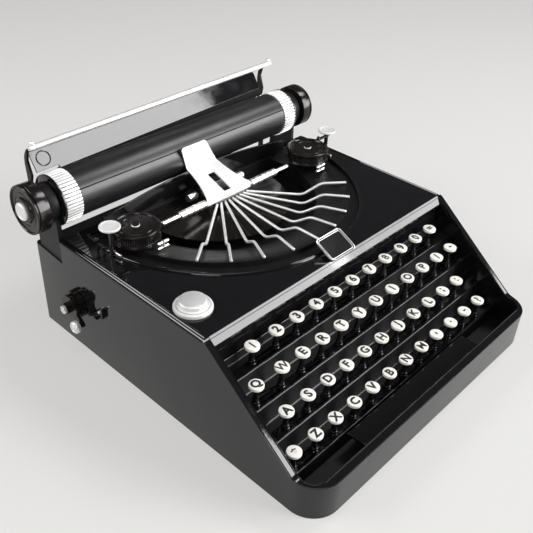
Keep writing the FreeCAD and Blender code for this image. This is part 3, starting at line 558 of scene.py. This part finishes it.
THUMB_X = 109.6
THUMB_Y = 62.8
FORK_X = 81.5
FORK_Y = 44.5
for side, word in SIDES:
    x = side * THUMB_X
    post = bmesh.new()
    turned(post, [(0, 0), (2.4, 0), (2.4, 0.7), (1.6, 1.0), (1.6, 16.9), (2.2, 17.1), (2.2, 18.7),
                  (1.6, 18.9), (1.6, 20.9), (0, 20.9)], (x, THUMB_Y, DECK_TOP), sides=24)
    slab(post, rounded([(x, 60.7), (side * 98.4, 60.4), (side * 96.6, 60.9), (side * 96.6, 62.6),
                        (side * 98.4, 63.1), (x, 63.0)], 0.6), "z", 101.4, 102.6)
    turned(post, [(0, 0), (1.5, 0), (1.5, 0.5), (1.1, 0.8), (1.1, 1.5), (0.7, 2.0), (0, 2.0)],
           (side * 97.8, 61.8, 102.6), sides=20)
    ease_edges(fitting("spool_latch_post_" + word, post, black_lacquer), 0.15)
    disc = bmesh.new()
    turned(disc, [(0, 0), (6.2, 0), (7.0, 0.35), (7.2, 0.9), (7.1, 1.5), (6.7, 1.9), (6.2, 2.0),
                  (5.8, 1.85), (5.5, 1.6), (0, 1.5)], (x, THUMB_Y, 104.8), sides=64)
    fitting("thumb_disc_" + word, disc, buffed_zinc)
    pin = bmesh.new()
    turned(pin, [(0, 0), (1.5, 0), (1.5, 0.5), (0.9, 0.8), (0.9, 6.1), (1.35, 6.5), (1.65, 7.2),
                 (1.65, 8.0), (1.35, 8.7), (0.7, 9.2), (0, 9.3)], (side * 112.6, 74.7, DECK_TOP), sides=24)
    fitting("ball_pin_" + word, pin, turned_japan)
    pin = bmesh.new()
    turned(pin, [(0, 0), (1.2, 0), (1.2, 0.4), (0.8, 0.7), (1.25, 1.2), (1.3, 1.6), (1.25, 2.0),
                 (0.8, 2.6), (0.8, 4.4), (1.25, 5.0), (1.3, 5.4), (1.2, 5.9), (0.7, 6.5), (0, 6.7)],
           (side * 113.2, 67.2, DECK_TOP), sides=24)
    fitting("beaded_pin_" + word, pin, turned_japan)
    bar = bmesh.new()
    turned(bar, [(0, -12.0), (0.6, -12.0), (0.9, -11.6), (0.9, -5.2), (1.05, -5.0), (1.05, -4.4),
                 (0.9, -4.2), (0.9, -0.4), (0.6, 0), (0, 0)], (side * 108.2, 67.0, DECK_TOP + 2.3),
           axis="y", sides=20)
    fitting("side_bar_" + word, bar, nickel)
    fork = bmesh.new()
    turned(fork, [(0, 0), (1.2, 0), (1.2, 5.2), (0, 5.2)], (side * FORK_X, FORK_Y, 86.2), sides=16)
    for height in (86.6, 90.4):
        turned(fork, [(0, -4.7), (0.8, -4.7), (1.1, -4.3), (1.1, 4.3), (0.8, 4.7), (0, 4.7)],
               (side * FORK_X, FORK_Y, height), axis="x", sides=20)
    fitting("fork_" + word, fork, nickel)

boss = bmesh.new()
turned(boss, [(0, 67.2), (6.0, 67.2), (6.0, 78.6), (0, 78.6)], (0, 78.0, 0), sides=32)
fitting("fan_boss", boss, black_lacquer)

# Name plate, left bare: a shallow plated tray with a turned-up rim, its field
# filled with black enamel. It is pinned to a black wedge.
BADGE_X = 2.6
BADGE_FOOT = (BADGE_X, -43.1, 83.8)
BADGE_HALF = 12.7
BADGE_LENGTH = 19.0
BADGE_LEAN = 27.0
WEDGE_HALF = 6.5
# (inset, corner radius, height) of each ring, from the outside in
BADGE_RIM = ((0.3, 2.7, 0.0), (0.0, 3.0, 0.3), (0.0, 3.0, 1.3), (0.15, 2.9, 1.55), (0.4, 2.7, 1.6),
             (0.65, 2.5, 1.5), (0.75, 2.4, 0.7))
BADGE_MARGIN = ((0.7, 2.4, 0.6), (0.7, 2.4, 0.8), (0.9, 2.3, 0.84))
BADGE_LINE = ((1.4, 2.0, 0.7), (1.48, 2.0, 1.0), (1.65, 1.9, 1.12), (1.82, 1.8, 1.0), (1.9, 1.7, 0.7))
BADGE_FIELD = ((1.88, 1.7, 0.65), (1.88, 1.7, 0.82), (2.1, 1.6, 0.86))


def tray_ring(inset, corner, height):
    """Rounded rectangle on the plate, inset from its edge, in its own flat frame."""
    ring = []
    for turn_x, turn_y, start in ((1, 0, -90), (1, 1, 0), (-1, 1, 90), (-1, 0, 180)):
        centre_x = turn_x * (BADGE_HALF - inset - corner)
        centre_y = inset + corner if turn_y == 0 else BADGE_LENGTH - inset - corner
        for step in range(7):
            angle = radians(start + 15 * step)
            ring.append((centre_x + corner * cos(angle), centre_y + corner * sin(angle), height))
    return ring


badge = bmesh.new()
for number, outlines in ((0, BADGE_RIM), (1, BADGE_MARGIN), (2, BADGE_LINE), (1, BADGE_FIELD)):
    skin(badge, [tray_ring(*outline) for outline in outlines], finish=number)
badge.transform(Matrix.Translation(Vector(BADGE_FOOT) * MM)
                @ Matrix.Rotation(radians(BADGE_LEAN), 4, "X"))
badge_enamel = dull_enamel.copy()
badge_enamel.name = "thin_black_enamel_on_badge"
badge_enamel.node_tree.nodes["Principled BSDF"].inputs["IOR"].default_value = 1.18
fitting("name_plate", badge, nickel, badge_enamel, satin_nickel)
wedge = bmesh.new()
slab(wedge, [(-40.0, DECK_TOP), (-28.5, DECK_TOP), (-28.5, 91.0), (-40.0, 85.2)], "x",
     BADGE_X - WEDGE_HALF, BADGE_X + WEDGE_HALF)
ease_edges(fitting("plate_wedge", wedge, black_lacquer), 0.2)

# ---------------------------------------------------------------------------
# Type bars. Nine drawn steel rods, bent by hand over a former, fanned out
# from one hub bar and plated.
# ---------------------------------------------------------------------------
def wire(solid, path, radius, sides=16):
    """Adds round wire along a path of points in millimetres, its two ends eased."""
    points = [Vector(point) for point in path]
    start = points[1] - points[0]
    end = points[-1] - points[-2]
    nose = radius * 0.3
    points[0:1] = [points[0], points[0] + start.normalized() * nose]
    points[-1:] = [points[-1] - end.normalized() * nose, points[-1]]
    sizes = [radius * 0.62] + [radius] * (len(points) - 2) + [radius * 0.62]
    across = start.normalized().orthogonal()
    rings = []
    for index, point in enumerate(points):
        ahead = points[min(index + 1, len(points) - 1)] - points[max(index - 1, 0)]
        ahead.normalize()
        across = (across - ahead * across.dot(ahead)).normalized()
        up = ahead.cross(across)
        turns = [2 * pi * step / sides for step in range(sides)]
        rings.append([point + (across * cos(turn) + up * sin(turn)) * sizes[index] for turn in turns])
    skin(solid, rings)


BAR_COUNT = 9
BAR_ANGLE = 12.8                # degrees from bar to bar
BAR_REACH = 100.0
BAR_TIP = 88.3
BAR_RADIUS = 1.02
BAR_BEND = 11.0
BAR_DIP = (34.0, -5.4)          # distance back from the tip, and height over the rod's start
BAR_CREST = (20.0, 3.9)
HUB_TOP = 86.0
HUB_X = 1.0
HUB_PITCH = 3.4
FAN_Y = 78.0
bars = bmesh.new()
for index in range(BAR_COUNT):
    step = index - (BAR_COUNT - 1) / 2
    angle = radians(BAR_ANGLE * step)
    start = Vector((HUB_X + HUB_PITCH * step, 64.5, HUB_TOP - 1.6))
    end = Vector((BAR_REACH * sin(angle), FAN_Y - BAR_REACH * cos(angle), BAR_TIP))
    reach = (end - start).xy.length
    along = Vector((*((end - start).xy / reach), 0))
    bends = [start + along * (reach - back) + Vector((0, 0, lift)) for back, lift in (BAR_DIP, BAR_CREST)]
    wire(bars, rounded([start, *bends, end], BAR_BEND, steps=8), BAR_RADIUS)
finished("type_bar_fan", bars, "case", ["type_bars"], [satin_nickel])
hub = bmesh.new()
slab(hub, [(HUB_X - 15.0, 62.4), (HUB_X + 15.0, 62.4), (HUB_X + 15.0, 69.7), (HUB_X - 15.0, 69.7)], "z",
     80.9, HUB_TOP)
ease_edges(finished("type_bar_hub", hub, "case", ["type_bars"], [black_lacquer]), 0.5)

# ---------------------------------------------------------------------------
# Card guide. Bright strip steel, bent to a ramp and an upright tab, with a
# slot up its middle, in front of the roller. Behind the bars lies a cross rod
# with two sleeves, and under the ramp a small roller.
# ---------------------------------------------------------------------------
GUIDE_PATH = ((63.4, 86.0), (63.4, 90.6), (95.3, 102.1), (95.3, 119.3))     # (y, z) of its top face
GUIDE_BEND = 3.0
GUIDE_MIDDLE = -1.2
GUIDE_SHEET = 1.2
STATION = 1.1                   # from one cross section of the strip to the next
SLOT_LEFT = -4.6
SLOT_RIGHT = 2.0
SLOT_FRONT = 64.9
SLOT_BACK = 84.0
SLOT_LOW = 88.5
RAMP_FRONT = 62.0
RAMP_BACK = 95.3
TAB_FOOT = 102.3
TAB_LEFT = ((TAB_FOOT, -15.4), (117.0, -19.4), (119.3, -17.4))      # (z, x) up its left edge
TAB_RIGHT = ((TAB_FOOT, 13.6), (117.6, 5.5), (119.3, 3.5))
guide_line = rounded(GUIDE_PATH, GUIDE_BEND, steps=5)
stations = []
for here, after in zip(guide_line, guide_line[1:]):
    count = max(1, round((after - here).length / STATION))
    stations += [here.lerp(after, step / count) for step in range(count)]
stations.append(guide_line[-1])


def edge_at(edge, z):
    """Where an edge given by (z, x) points is at a height."""
    for (low, first), (high, last) in zip(edge, edge[1:]):
        if z >= low:
            x = first + (last - first) * (z - low) / (high - low)
    return x


def guide_sides(y, z):
    """Left and right edge of the strip where it has this depth and height."""
    if z > TAB_FOOT:
        return edge_at(TAB_LEFT, z), edge_at(TAB_RIGHT, z)
    share = (y - RAMP_FRONT) / (RAMP_BACK - RAMP_FRONT)
    half = 23.0 - 16.4 * share + 7.9 * share ** 2
    return GUIDE_MIDDLE - half, GUIDE_MIDDLE + half


strip = bmesh.new()
rows = []
for y, z in stations:
    left, right = guide_sides(y, z)
    rows.append([strip.verts.new(Vector((x, y, z)) * MM) for x in (left, SLOT_LEFT, SLOT_RIGHT, right)])
for (y, z), low, high in zip(stations, rows, rows[1:]):
    in_slot = SLOT_FRONT < y < SLOT_BACK and z > SLOT_LOW
    for column in (0, 2) if in_slot else (0, 1, 2):
        strip.faces.new([low[column], low[column + 1], high[column + 1], high[column]])
bmesh.ops.recalc_face_normals(strip, faces=strip.faces)
strip.faces.ensure_lookup_table()
if strip.faces[0].normal.y > 0:
    bmesh.ops.reverse_faces(strip, faces=strip.faces)
guide = finished("card_guide_strip", strip, "case", ["card_guide"], [satin_nickel],
                 crease=50)
sheet = guide.modifiers.new("sheet", "SOLIDIFY")
sheet.thickness = GUIDE_SHEET * MM
sheet.offset = -1.0
ease_edges(guide, 0.3)

CROSS_Y = 66.7
CROSS_Z = 86.8
rod = bmesh.new()
outline = [(0, -64.0), (1.2, -64.0), (1.7, -63.4)]
for start, length in ((-47.8, 25.2), (24.0, 28.2)):
    outline += [(1.7, start), (2.6, start), (3.0, start + 0.5)]
    for part in (0.22, 0.44, 0.66, 0.88):
        step = start + part * length
        outline += [(3.0, step - 0.5), (2.5, step - 0.2), (2.5, step + 0.4), (3.0, step + 0.7)]
    outline += [(3.0, start + length - 0.5), (2.6, start + length), (1.7, start + length)]
outline += [(1.7, 65.9), (1.2, 66.5), (0, 66.5)]
turned(rod, outline, (0, CROSS_Y, CROSS_Z), axis="x", sides=32)
finished("cross_rod", rod, "case", ["card_guide"], [nickel])


def solid_near(solids, *point):
    """The solid whose middle is nearest to a point in millimetres."""
    return min(solids, key=lambda solid: (middle_of(solid) - Vector(point)).length)


guide_solids = solids_of("card_guide")
for name, point, finish in (("small_roller", (0, 80, 87.5), nickel),
                            ("roller_lug_left", (-17.4, 80, 84.9), black_lacquer),
                            ("roller_lug_right", (17.4, 80, 84.9), black_lacquer)):
    solid = solid_near(guide_solids, *point)
    guide_solids.remove(solid)
    finished(name, solid, "case", ["card_guide"], [finish])
for solid in guide_solids:
    solid.free()

# ---------------------------------------------------------------------------
# Ribbon spools. Pressed iron flanges on a drum, lacquered black, with a
# milled edge for turning.
# ---------------------------------------------------------------------------
SPOOL_X = 88.0
SPOOL_Y = 64.5
TEETH = 64
# (radius, height, depth of the milling) from the bore's top, over the rim and down to its foot
SPOOL_PROFILE = ((2.2, 97.2, 0), (9.6, 97.2, 0), (10.0, 97.5, 0), (12.6, 97.5, 0), (13.0, 97.2, 0),
                 (14.0, 97.2, 0), (14.4, 97.8, 0), (16.2, 97.8, 0), (16.7, 97.5, 0.1),
                 (17.0, 97.0, 0.45), (17.0, 95.9, 0.45), (16.7, 95.4, 0.1), (16.0, 95.2, 0),
                 (15.8, 94.9, 0.3), (15.8, 89.4, 0.3), (16.0, 89.0, 0), (16.7, 88.8, 0.1),
                 (17.0, 88.4, 0.45), (17.0, 87.8, 0.45), (16.6, 87.4, 0), (2.2, 87.4, 0))


def round_from(middle, radius, turn):
    """The two coordinates of a point at a radius and a turn in degrees about a middle."""
    return middle[0] + radius * cos(radians(turn)), middle[1] + radius * sin(radians(turn))


for side, word in SIDES:
    node = "spool_" + word
    middle = (side * SPOOL_X, SPOOL_Y)
    rings = []
    for radius, height, dip in SPOOL_PROFILE:
        reaches = [radius - dip, radius, radius, radius] * TEETH
        rings.append([(*round_from(middle, reach, 360 * step / len(reaches)), height)
                      for step, reach in enumerate(reaches)])
    spool = bmesh.new()
    skin(spool, rings, closed=True)
    finished(node + "_drum", spool, node, [node], [turned_japan])
    washer = bmesh.new()
    turned(washer, [(2.3, 97.2), (3.0, 97.2), (3.0, 97.6), (2.8, 97.8), (2.3, 97.8), (2.3, 97.2)],
           (*middle, 0), sides=40)
    finished(node + "_washer", washer, node, [node], [satin_nickel])

# ---------------------------------------------------------------------------
# Carriage, of black sheet iron. Two end plates carry the platen and an arched
# plate stands before it. Behind it two bent uprights hold a plate that leans
# back under a bright steel rod, for the paper to lie on.
# ---------------------------------------------------------------------------
CARRIAGE_X = -4.5
PLATEN_Y = 114.2
PLATEN_Z = 107.2
AXIS = (CARRIAGE_X, PLATEN_Y, PLATEN_Z)
CHEEK_START = 115.9             # from the carriage's middle
CHEEK = 3.6
CHEEK_CROWN = 11.0
HEAD_BORE = 3.4
SHELF = ((102.2, 64.8), (128.2, 67.1))      # where an end plate meets the case's rear shelf


def frame_piece(name, solid, *materials):
    """A fixed piece of the carriage, which rides on the case."""
    return finished(name, solid, "case", ["carriage_frame"], materials)


for side, word in SIDES:
    crown = [round_from(AXIS[1:], CHEEK_CROWN, turn) for turn in range(0, 181, 10)]
    cheek = bmesh.new()
    slab(cheek, [*SHELF, *crown], "x", CARRIAGE_X + side * CHEEK_START,
         CARRIAGE_X + side * (CHEEK_START + CHEEK))
    ease_edges(frame_piece("end_plate_" + word, cheek, dull_enamel), 0.4)
    head = bmesh.new()
    turned(head, [(HEAD_BORE, 115.9), (13.4, 115.9), (14.0, 116.6), (14.0, 122.6), (13.4, 123.6),
                  (HEAD_BORE, 123.6), (HEAD_BORE, 115.9)], AXIS, axis="x", sides=72, way=side)
    frame_piece("end_plate_head_" + word, head, dull_enamel)

ARCH_HALF = 92.0
ARCH_LOW = 91.5
ARCH_RISE = 9.3
ARCH_STEPS = 24
SHEET = 1.2
arch_radius = (ARCH_HALF ** 2 + ARCH_RISE ** 2) / (2 * ARCH_RISE)
crown = []
for step in range(ARCH_STEPS + 1):
    x = ARCH_HALF * (1 - 2 * step / ARCH_STEPS)
    crown.append((x, ARCH_LOW + ARCH_RISE - arch_radius + (arch_radius ** 2 - x ** 2) ** 0.5))
arch = bmesh.new()
slab(arch, [(-ARCH_HALF, DECK_TOP), (ARCH_HALF, DECK_TOP), *crown], "y", 93.4, 93.4 + SHEET)
ease_edges(frame_piece("arch_plate", arch, black_lacquer), 0.25)

REST_Y = 131.0
REST_Z = 141.6
REST_TILT = 1.15                # degrees, right end up
REST_HALF = 116.2
REST_ROD = 2.0
NUB_INSET = 3.0
NUB_PROFILE = ((0, 0.8), (1.2, 0.8), (1.2, 1.7), (1.55, 2.0), (1.78, 2.6), (1.78, 3.1), (1.5, 3.8),
               (0.95, 4.35), (0.4, 4.55), (0, 4.6))
tilt = (Matrix.Translation(Vector((CARRIAGE_X, REST_Y, REST_Z)) * MM)
        @ Matrix.Rotation(radians(-REST_TILT), 4, "Y")
        @ Matrix.Translation(Vector((-CARRIAGE_X, -REST_Y, -REST_Z)) * MM))
rod = bmesh.new()
nose = [(0, REST_HALF), (1.0, REST_HALF), (1.6, REST_HALF - 0.3), (REST_ROD, REST_HALF - 1.2)]
turned(rod, [(radius, -along) for radius, along in nose] + nose[::-1],
       (CARRIAGE_X, REST_Y, REST_Z), axis="x", sides=32)
for side in (-1, 1):
    turned(rod, NUB_PROFILE, (CARRIAGE_X + side * (REST_HALF - NUB_INSET), REST_Y, REST_Z), sides=24)
rod.transform(tilt)
finished("paper_rod", rod, "case", ["carriage_frame"], [satin_nickel])

REST_LEFT = -121.4
REST_RIGHT = 91.0
REST_LEAN = 33.0                # degrees back from upright
REST_BEHIND = 1.4               # front face behind the rod's axis
REST_RISE = 1.4
REST_DROP = 16.2
RING_END = -104.4               # the lip stops short of the fluted ring
REST_CORNER = 6.0
turns = [radians(turn) for turn in range(0, 91, 9)]
outline = [(REST_LEFT, -REST_DROP), (RING_END - 0.8, -REST_DROP), (RING_END, -REST_DROP - 0.6),
           (RING_END + 0.3, -REST_DROP - 2.1), (REST_RIGHT, -REST_DROP)]
outline += [(REST_RIGHT - REST_CORNER * (1 - cos(turn)), REST_RISE - REST_CORNER * (1 - sin(turn)))
            for turn in turns]
outline += [(REST_LEFT + REST_CORNER * (1 - sin(turn)), REST_RISE - REST_CORNER * (1 - cos(turn)))
            for turn in turns]
lean = (tilt @ Matrix.Translation(Vector((0, REST_Y, REST_Z)) * MM)
        @ Matrix.Rotation(radians(-REST_LEAN), 4, "X"))
rest = bmesh.new()
slab(rest, outline, "y", REST_BEHIND, REST_BEHIND + SHEET)
rest.transform(lean)
ease_edges(frame_piece("paper_plate", rest, black_lacquer), 0.25)

# Ring pressed into the plate's left end, beside the roller's ring.
mark = bmesh.new()
turned(mark, [(4.4, 0.1), (4.5, -0.2), (4.9, -0.35), (5.3, -0.2), (5.4, 0.1), (4.4, 0.1)],
       (REST_LEFT + 8.4, REST_BEHIND, -8.6), axis="y", sides=48)
mark.transform(lean)
frame_piece("paper_plate_mark", mark, black_lacquer)

# Curved lip under the plate, which leads the paper round the roller's back.
LIP_TOPS = ((RING_END + 1.2, 125.0), (REST_RIGHT, 129.4))      # (x, z), under the plate's lower edge
LIP_Y = 123.7
LIP_INNER = 18.1
LIP_TURNS = (58, 50, 42, 34)    # degrees round the roller, down its back
lip_rings = []
for x, top in LIP_TOPS:
    ring = [(x, LIP_Y, top)]
    ring += [(x, *round_from(AXIS[1:], LIP_INNER, turn)) for turn in LIP_TURNS]
    ring += [(x, *round_from(AXIS[1:], LIP_INNER + SHEET, turn)) for turn in LIP_TURNS[::-1]]
    lip_rings.append(ring + [(x, LIP_Y + SHEET, top)])
lip = bmesh.new()
skin(lip, lip_rings)
frame_piece("paper_plate_lip", lip, dull_enamel)

# Bent uprights of sheet iron, which stand on the case's rear shelf.
RIGHT_ARM_X = 103.0
ARM_THICKNESS = 1.8
ARM_FOOT = ((133.4, 112.0), (133.4, 103.0), (129.0, 92.0), (129.0, 67.2), (133.6, 67.6), (133.6, 96.0),
            (136.4, 104.0))
ARM_HEAD = ((137.3, 122.0), (137.8, 129.0), (137.1, 134.5), (135.6, 137.6), (133.6, 140.6),
            (132.4, 141.4), (131.9, 140.2), (133.0, 136.4), (134.4, 132.0), (131.1, 121.7))
for start, word in ((REST_LEFT, "left"), (RIGHT_ARM_X, "right")):
    lift = (start - CARRIAGE_X) * tan(radians(REST_TILT))
    outline = [*ARM_FOOT, *[(y, z + lift) for y, z in ARM_HEAD]]
    arm = bmesh.new()
    slab(arm, outline, "x", start, start + ARM_THICKNESS)
    ease_edges(frame_piece("paper_arm_" + word, arm, dull_enamel), 0.3)

# ---------------------------------------------------------------------------
# Platen. A black covered roller between two fluted nickel rings, with a black
# turned knob and a nickel cap at each end.
# ---------------------------------------------------------------------------
# Ground rubber sleeve, dulled by paper. Satin, with a long soft highlight and
# fine grinding marks round it.
platen_rubber, shader = mottled("ground_black_rubber", 5.56, 4.0, ("#121214", "#1e1e20"),
                                (0.30, 0.42), relief=0.15)

ROLLER_RADIUS = 17.3
ROLLER_HALF = 101.0
ROLLER_STEPS = 240
SLEEVE_SEAM = 148.0             # degrees, where the sleeve's edges meet
rings = []
for along, drop in ((-ROLLER_HALF, 0.6), (-ROLLER_HALF + 0.6, 0.0), (ROLLER_HALF - 0.6, 0.0),
                    (ROLLER_HALF, 0.6)):
    ring = []
    for step in range(ROLLER_STEPS):
        turn = 360 * step / ROLLER_STEPS
        depth = 0.35 if abs(turn - SLEEVE_SEAM) < 0.6 else 0.0
        ring.append((AXIS[0] + along, *round_from(AXIS[1:], ROLLER_RADIUS - drop - depth, turn)))
    rings.append(ring)
roller = bmesh.new()
skin(roller, rings)
finished("platen_roller", roller, "platen", ["platen"], [platen_rubber])

# Fluted ring, washer, knob and cap of each end, by their distance from the middle.
FLUTES = 44
GROOVE = (0.9, 0.9, 0.1, 0.0, 0.0, 0.0, 0.0, 0.1)      # depth across one flute
RING_RADIUS = 18.3
RING_WIDTH = 12.6
RING_BORE = 0.9                 # share of the ring's radius
RING_STARTS = {"left": 101.0, "right": 99.8}
KNOB_PROFILE = ((0, 113.5), (3.0, 113.5), (3.0, 124.4), (16.6, 124.4), (17.2, 124.7), (17.4, 125.2),
                (17.4, 132.6), (17.1, 132.9), (16.5, 133.1), (16.5, 133.5), (17.1, 133.7), (17.4, 134.0),
                (17.4, 134.5), (17.1, 134.9), (16.6, 135.0), (16.1, 134.9), (15.7, 134.5), (15.5, 134.0),
                (12.4, 133.9), (12.1, 134.2), (11.7, 134.3), (11.3, 134.2), (11.0, 133.9), (9.3, 134.0),
                (9.0, 134.4), (8.7, 135.3), (8.2, 135.6), (7.6, 135.6), (7.3, 135.3), (0, 135.3))
CAP_PROFILE = ((0, 135.3), (6.2, 135.3), (6.4, 135.9), (6.4, 136.9), (6.1, 137.5), (5.6, 137.9),
               (5.1, 137.9), (4.8, 137.6), (0, 137.5))
for side, word in SIDES:
    start = RING_STARTS[word]
    end = start + RING_WIDTH
    rings = []
    for along, share in ((start, RING_BORE), (start, 0.985), (start + 0.5, 1.0), (end - 0.5, 1.0),
                         (end, 0.985), (end, RING_BORE)):
        dips = (GROOVE if share > RING_BORE else (0.0,) * len(GROOVE)) * FLUTES
        rings.append([(AXIS[0] + side * along,
                       *round_from(AXIS[1:], RING_RADIUS * share - dip, 360 * step / len(dips)))
                      for step, dip in enumerate(dips)])
    fluted = bmesh.new()
    # The bottom face of each flute takes the dull black enamel: painted shade in the grooves.
    for step, face in enumerate(skin(fluted, rings, closed=True)):
        face.material_index = 1 if step % len(GROOVE) == 0 else 0
    finished("fluted_ring_" + word, fluted, "platen", ["platen"],
             [satin_nickel, dull_enamel])
    washer = bmesh.new()
    near = end + 0.05
    far = near + 1.6
    turned(washer, [(3.0, near), (17.6, near), (18.2, near + 0.3), (18.3, near + 0.8), (18.2, far - 0.3),
                    (17.7, far), (3.0, far), (3.0, near)], AXIS, axis="x", sides=96, way=side)
    finished("ring_washer_" + word, washer, "platen", ["platen"], [black_lacquer])
    knob = bmesh.new()
    turned(knob, KNOB_PROFILE, AXIS, axis="x", sides=96, way=side)
    finished("platen_knob_" + word, knob, "platen", ["platen"], [turned_japan])
    cap = bmesh.new()
    turned(cap, CAP_PROFILE, AXIS, axis="x", sides=64, way=side)
    finished("knob_cap_" + word, cap, "platen", ["platen"], [satin_nickel])

# ---------------------------------------------------------------------------
# Left wall. A turned black crank disc with an arm and a bright knob, held by
# one screw, and ahead of it a T-shaped strip catch with a bright pin.
# ---------------------------------------------------------------------------
WALL = -125.0
KNOB_PLACE = (WALL, 75.2, 30.3)
crank_solids = solids_of("side_crank")
for name, point, finish in (("crank_disc", (-128.0, 84.65, 38.7), turned_japan),
                            ("crank_screw", (-137.1, 86.5, 39.5), satin_nickel)):
    solid = solid_near(crank_solids, *point)
    crank_solids.remove(solid)
    ease_edges(finished(name, solid, "side_crank", ["side_crank"], [finish]), 0.3)
for solid in crank_solids:
    solid.free()
knob = bmesh.new()
turned(knob, [(0, -9.0), (3.5, -9.0), (4.3, -9.5), (4.6, -10.2), (4.6, -11.9), (4.3, -12.8),
              (3.6, -13.4), (2.7, -13.6), (2.4, -13.3), (2.1, -13.3), (1.8, -13.6), (0, -13.6)],
       KNOB_PLACE, axis="x", sides=48)
finished("crank_knob", knob, "side_crank", ["side_crank"], [satin_nickel])

CATCH_Y = 65.5
CATCH_Z = 41.8
CATCH_TURN = radians(-34.3)
CATCH_CORNERS = ((-10.2, -1.2), (10.2, -1.2), (10.2, 1.2), (-10.2, 1.2))
catch = bmesh.new()
slab(catch, [(CATCH_Y + a * cos(CATCH_TURN) - b * sin(CATCH_TURN),
              CATCH_Z + a * sin(CATCH_TURN) + b * cos(CATCH_TURN)) for a, b in CATCH_CORNERS], "x",
     WALL - 1.4, WALL)
slab(catch, [(54.9, 44.2), (56.8, 44.2), (56.8, 51.6), (54.9, 51.6)], "x", WALL - 2.6, WALL)
turned(catch, [(0, -4.6), (0.8, -4.6), (1.0, -4.2), (1.0, -2.6), (0, -2.6)], (WALL, 55.9, 50.4),
       axis="x", sides=20, finish=1)
ease_edges(finished("wall_catch", catch, "case", ["case_shell"],
                    [turned_japan, nickel]), 0.25)

# ---------------------------------------------------------------------------
# Push button. Turned and plated steel, on a stem that slides in its bezel on
# the deck and has a collar under the sheet.
# ---------------------------------------------------------------------------
BUTTON_TOP = 90.0
STEM = 4.0
COLLAR = 6.0
COLLAR_TOP = 82.75
BUTTON_FOOT = 81.35
button = bmesh.new()
turned(button, [(0, BUTTON_TOP), (7.6, BUTTON_TOP), (8.3, 89.8), (8.8, 89.4), (9.0, 88.8), (9.1, 87.5),
                (9.3, 87.1), (9.8, 86.9), (10.1, 86.7), (10.2, 86.3), (STEM, 86.3), (STEM, COLLAR_TOP),
                (COLLAR, COLLAR_TOP), (COLLAR, BUTTON_FOOT), (0, BUTTON_FOOT)],
       (BUTTON_X, BUTTON_Y, 0), sides=72)
finished("push_button_cap", button, "push_button", ["push_button"], [satin_nickel])

# ---------------------------------------------------------------------------
# Floor, lights and camera. A matt pale board under two large softboxes and
# four small ones, in a dim room.
# ---------------------------------------------------------------------------
REACH = 9.0                     # metres from the middle to the floor's sides
FLOOR_GLOW = 0.55               # share of its paleness that doesn't hang on the lamps
FLOOR_COLOUR = linear("#dddcda")
floor_mesh = bpy.data.meshes.new("studio_floor")
floor_mesh.from_pydata([(-REACH, -REACH, 0), (REACH, -REACH, 0), (REACH, REACH, 0), (-REACH, REACH, 0)],
                       [], [(0, 1, 2, 3)])
floor = bpy.data.objects.new("studio_floor", floor_mesh)
bpy.context.scene.collection.objects.link(floor)
pale_floor, tree, shader = new_finish("matt_pale_board")
shader.inputs["Base Color"].default_value = FLOOR_COLOUR
shader.inputs["Roughness"].default_value = 0.6
ray = add_node(tree, "ShaderNodeLightPath", {}, {})
seen = add_node(tree, "ShaderNodeMath", {"operation": "MAXIMUM"},
                {0: ray.outputs["Is Camera Ray"], 1: ray.outputs["Is Glossy Ray"]})
seen = add_node(tree, "ShaderNodeMath", {"operation": "MAXIMUM"},
                {0: seen.outputs["Value"], 1: ray.outputs["Is Transmission Ray"]})
share = add_node(tree, "ShaderNodeMath", {"operation": "MULTIPLY", 1: FLOOR_GLOW},
                 {0: seen.outputs["Value"]})
glow = add_node(tree, "ShaderNodeEmission", {"Color": FLOOR_COLOUR}, {})
both = add_node(tree, "ShaderNodeMixShader", {},
                {"Fac": share.outputs["Value"], 1: shader.outputs["BSDF"], 2: glow.outputs["Emission"]})
tree.links.new(both.outputs["Shader"], tree.nodes["Material Output"].inputs["Surface"])
floor_mesh.materials.append(pale_floor)

world = bpy.data.worlds.new("studio")
world.use_nodes = True
world.node_tree.nodes["Background"].inputs["Color"].default_value = (0.09, 0.09, 0.095, 1)
bpy.context.scene.world = world


def softbox(name, place, aim, width, height, power):
    """Rectangular lamp at a place, turned to its aim, in metres and watts."""
    data = bpy.data.lights.new(name, "AREA")
    data.shape = "RECTANGLE"
    data.size = width
    data.size_y = height
    data.energy = power
    lamp = bpy.data.objects.new(name, data)
    lamp.location = place
    lamp.rotation_euler = (Vector(aim) - Vector(place)).to_track_quat("-Z", "Y").to_euler()
    bpy.context.scene.collection.objects.link(lamp)


softbox("key_front_right", (1.07, -1.68, 0.86), (0, 0, 0.86), 1.0, 1.56, 60.0)
softbox("key_low_right", (1.56, -1.17, 0.60), (0, 0, 0.60), 0.56, 0.65, 11.0)
softbox("key_upper", (0.58, -0.13, 0.93), (0, 0.08, 0.10), 0.30, 0.32, 3.8)
softbox("overhead", (-0.35, -0.20, 1.50), (0, 0, 0.05), 1.0, 1.0, 4.0)
softbox("back_left", (-0.85, 0.66, 0.75), (0, 0, 0.08), 0.60, 0.45, 8.0)
softbox("fill_front_left", (-0.95, -0.70, 0.70), (0, 0, 0.08), 0.45, 0.45, 4.0)

view_from = Vector((-0.3376, -0.2765, 0.3585))
view_along = Vector((0.6115, 0.5446, -0.5740))
ROLL = 2.89
camera_data = bpy.data.cameras.new("camera")
camera_data.lens = 49.449
camera_data.sensor_width = 36.0
camera_data.clip_start = 0.01
camera = bpy.data.objects.new("camera", camera_data)
camera.location = view_from
camera.rotation_mode = "QUATERNION"
camera.rotation_quaternion = view_along.to_track_quat("-Z", "Y") @ Quaternion((0, 0, 1), radians(ROLL))
bpy.context.scene.collection.objects.link(camera)
bpy.context.scene.camera = camera
bpy.context.scene.view_settings.view_transform = "Standard"
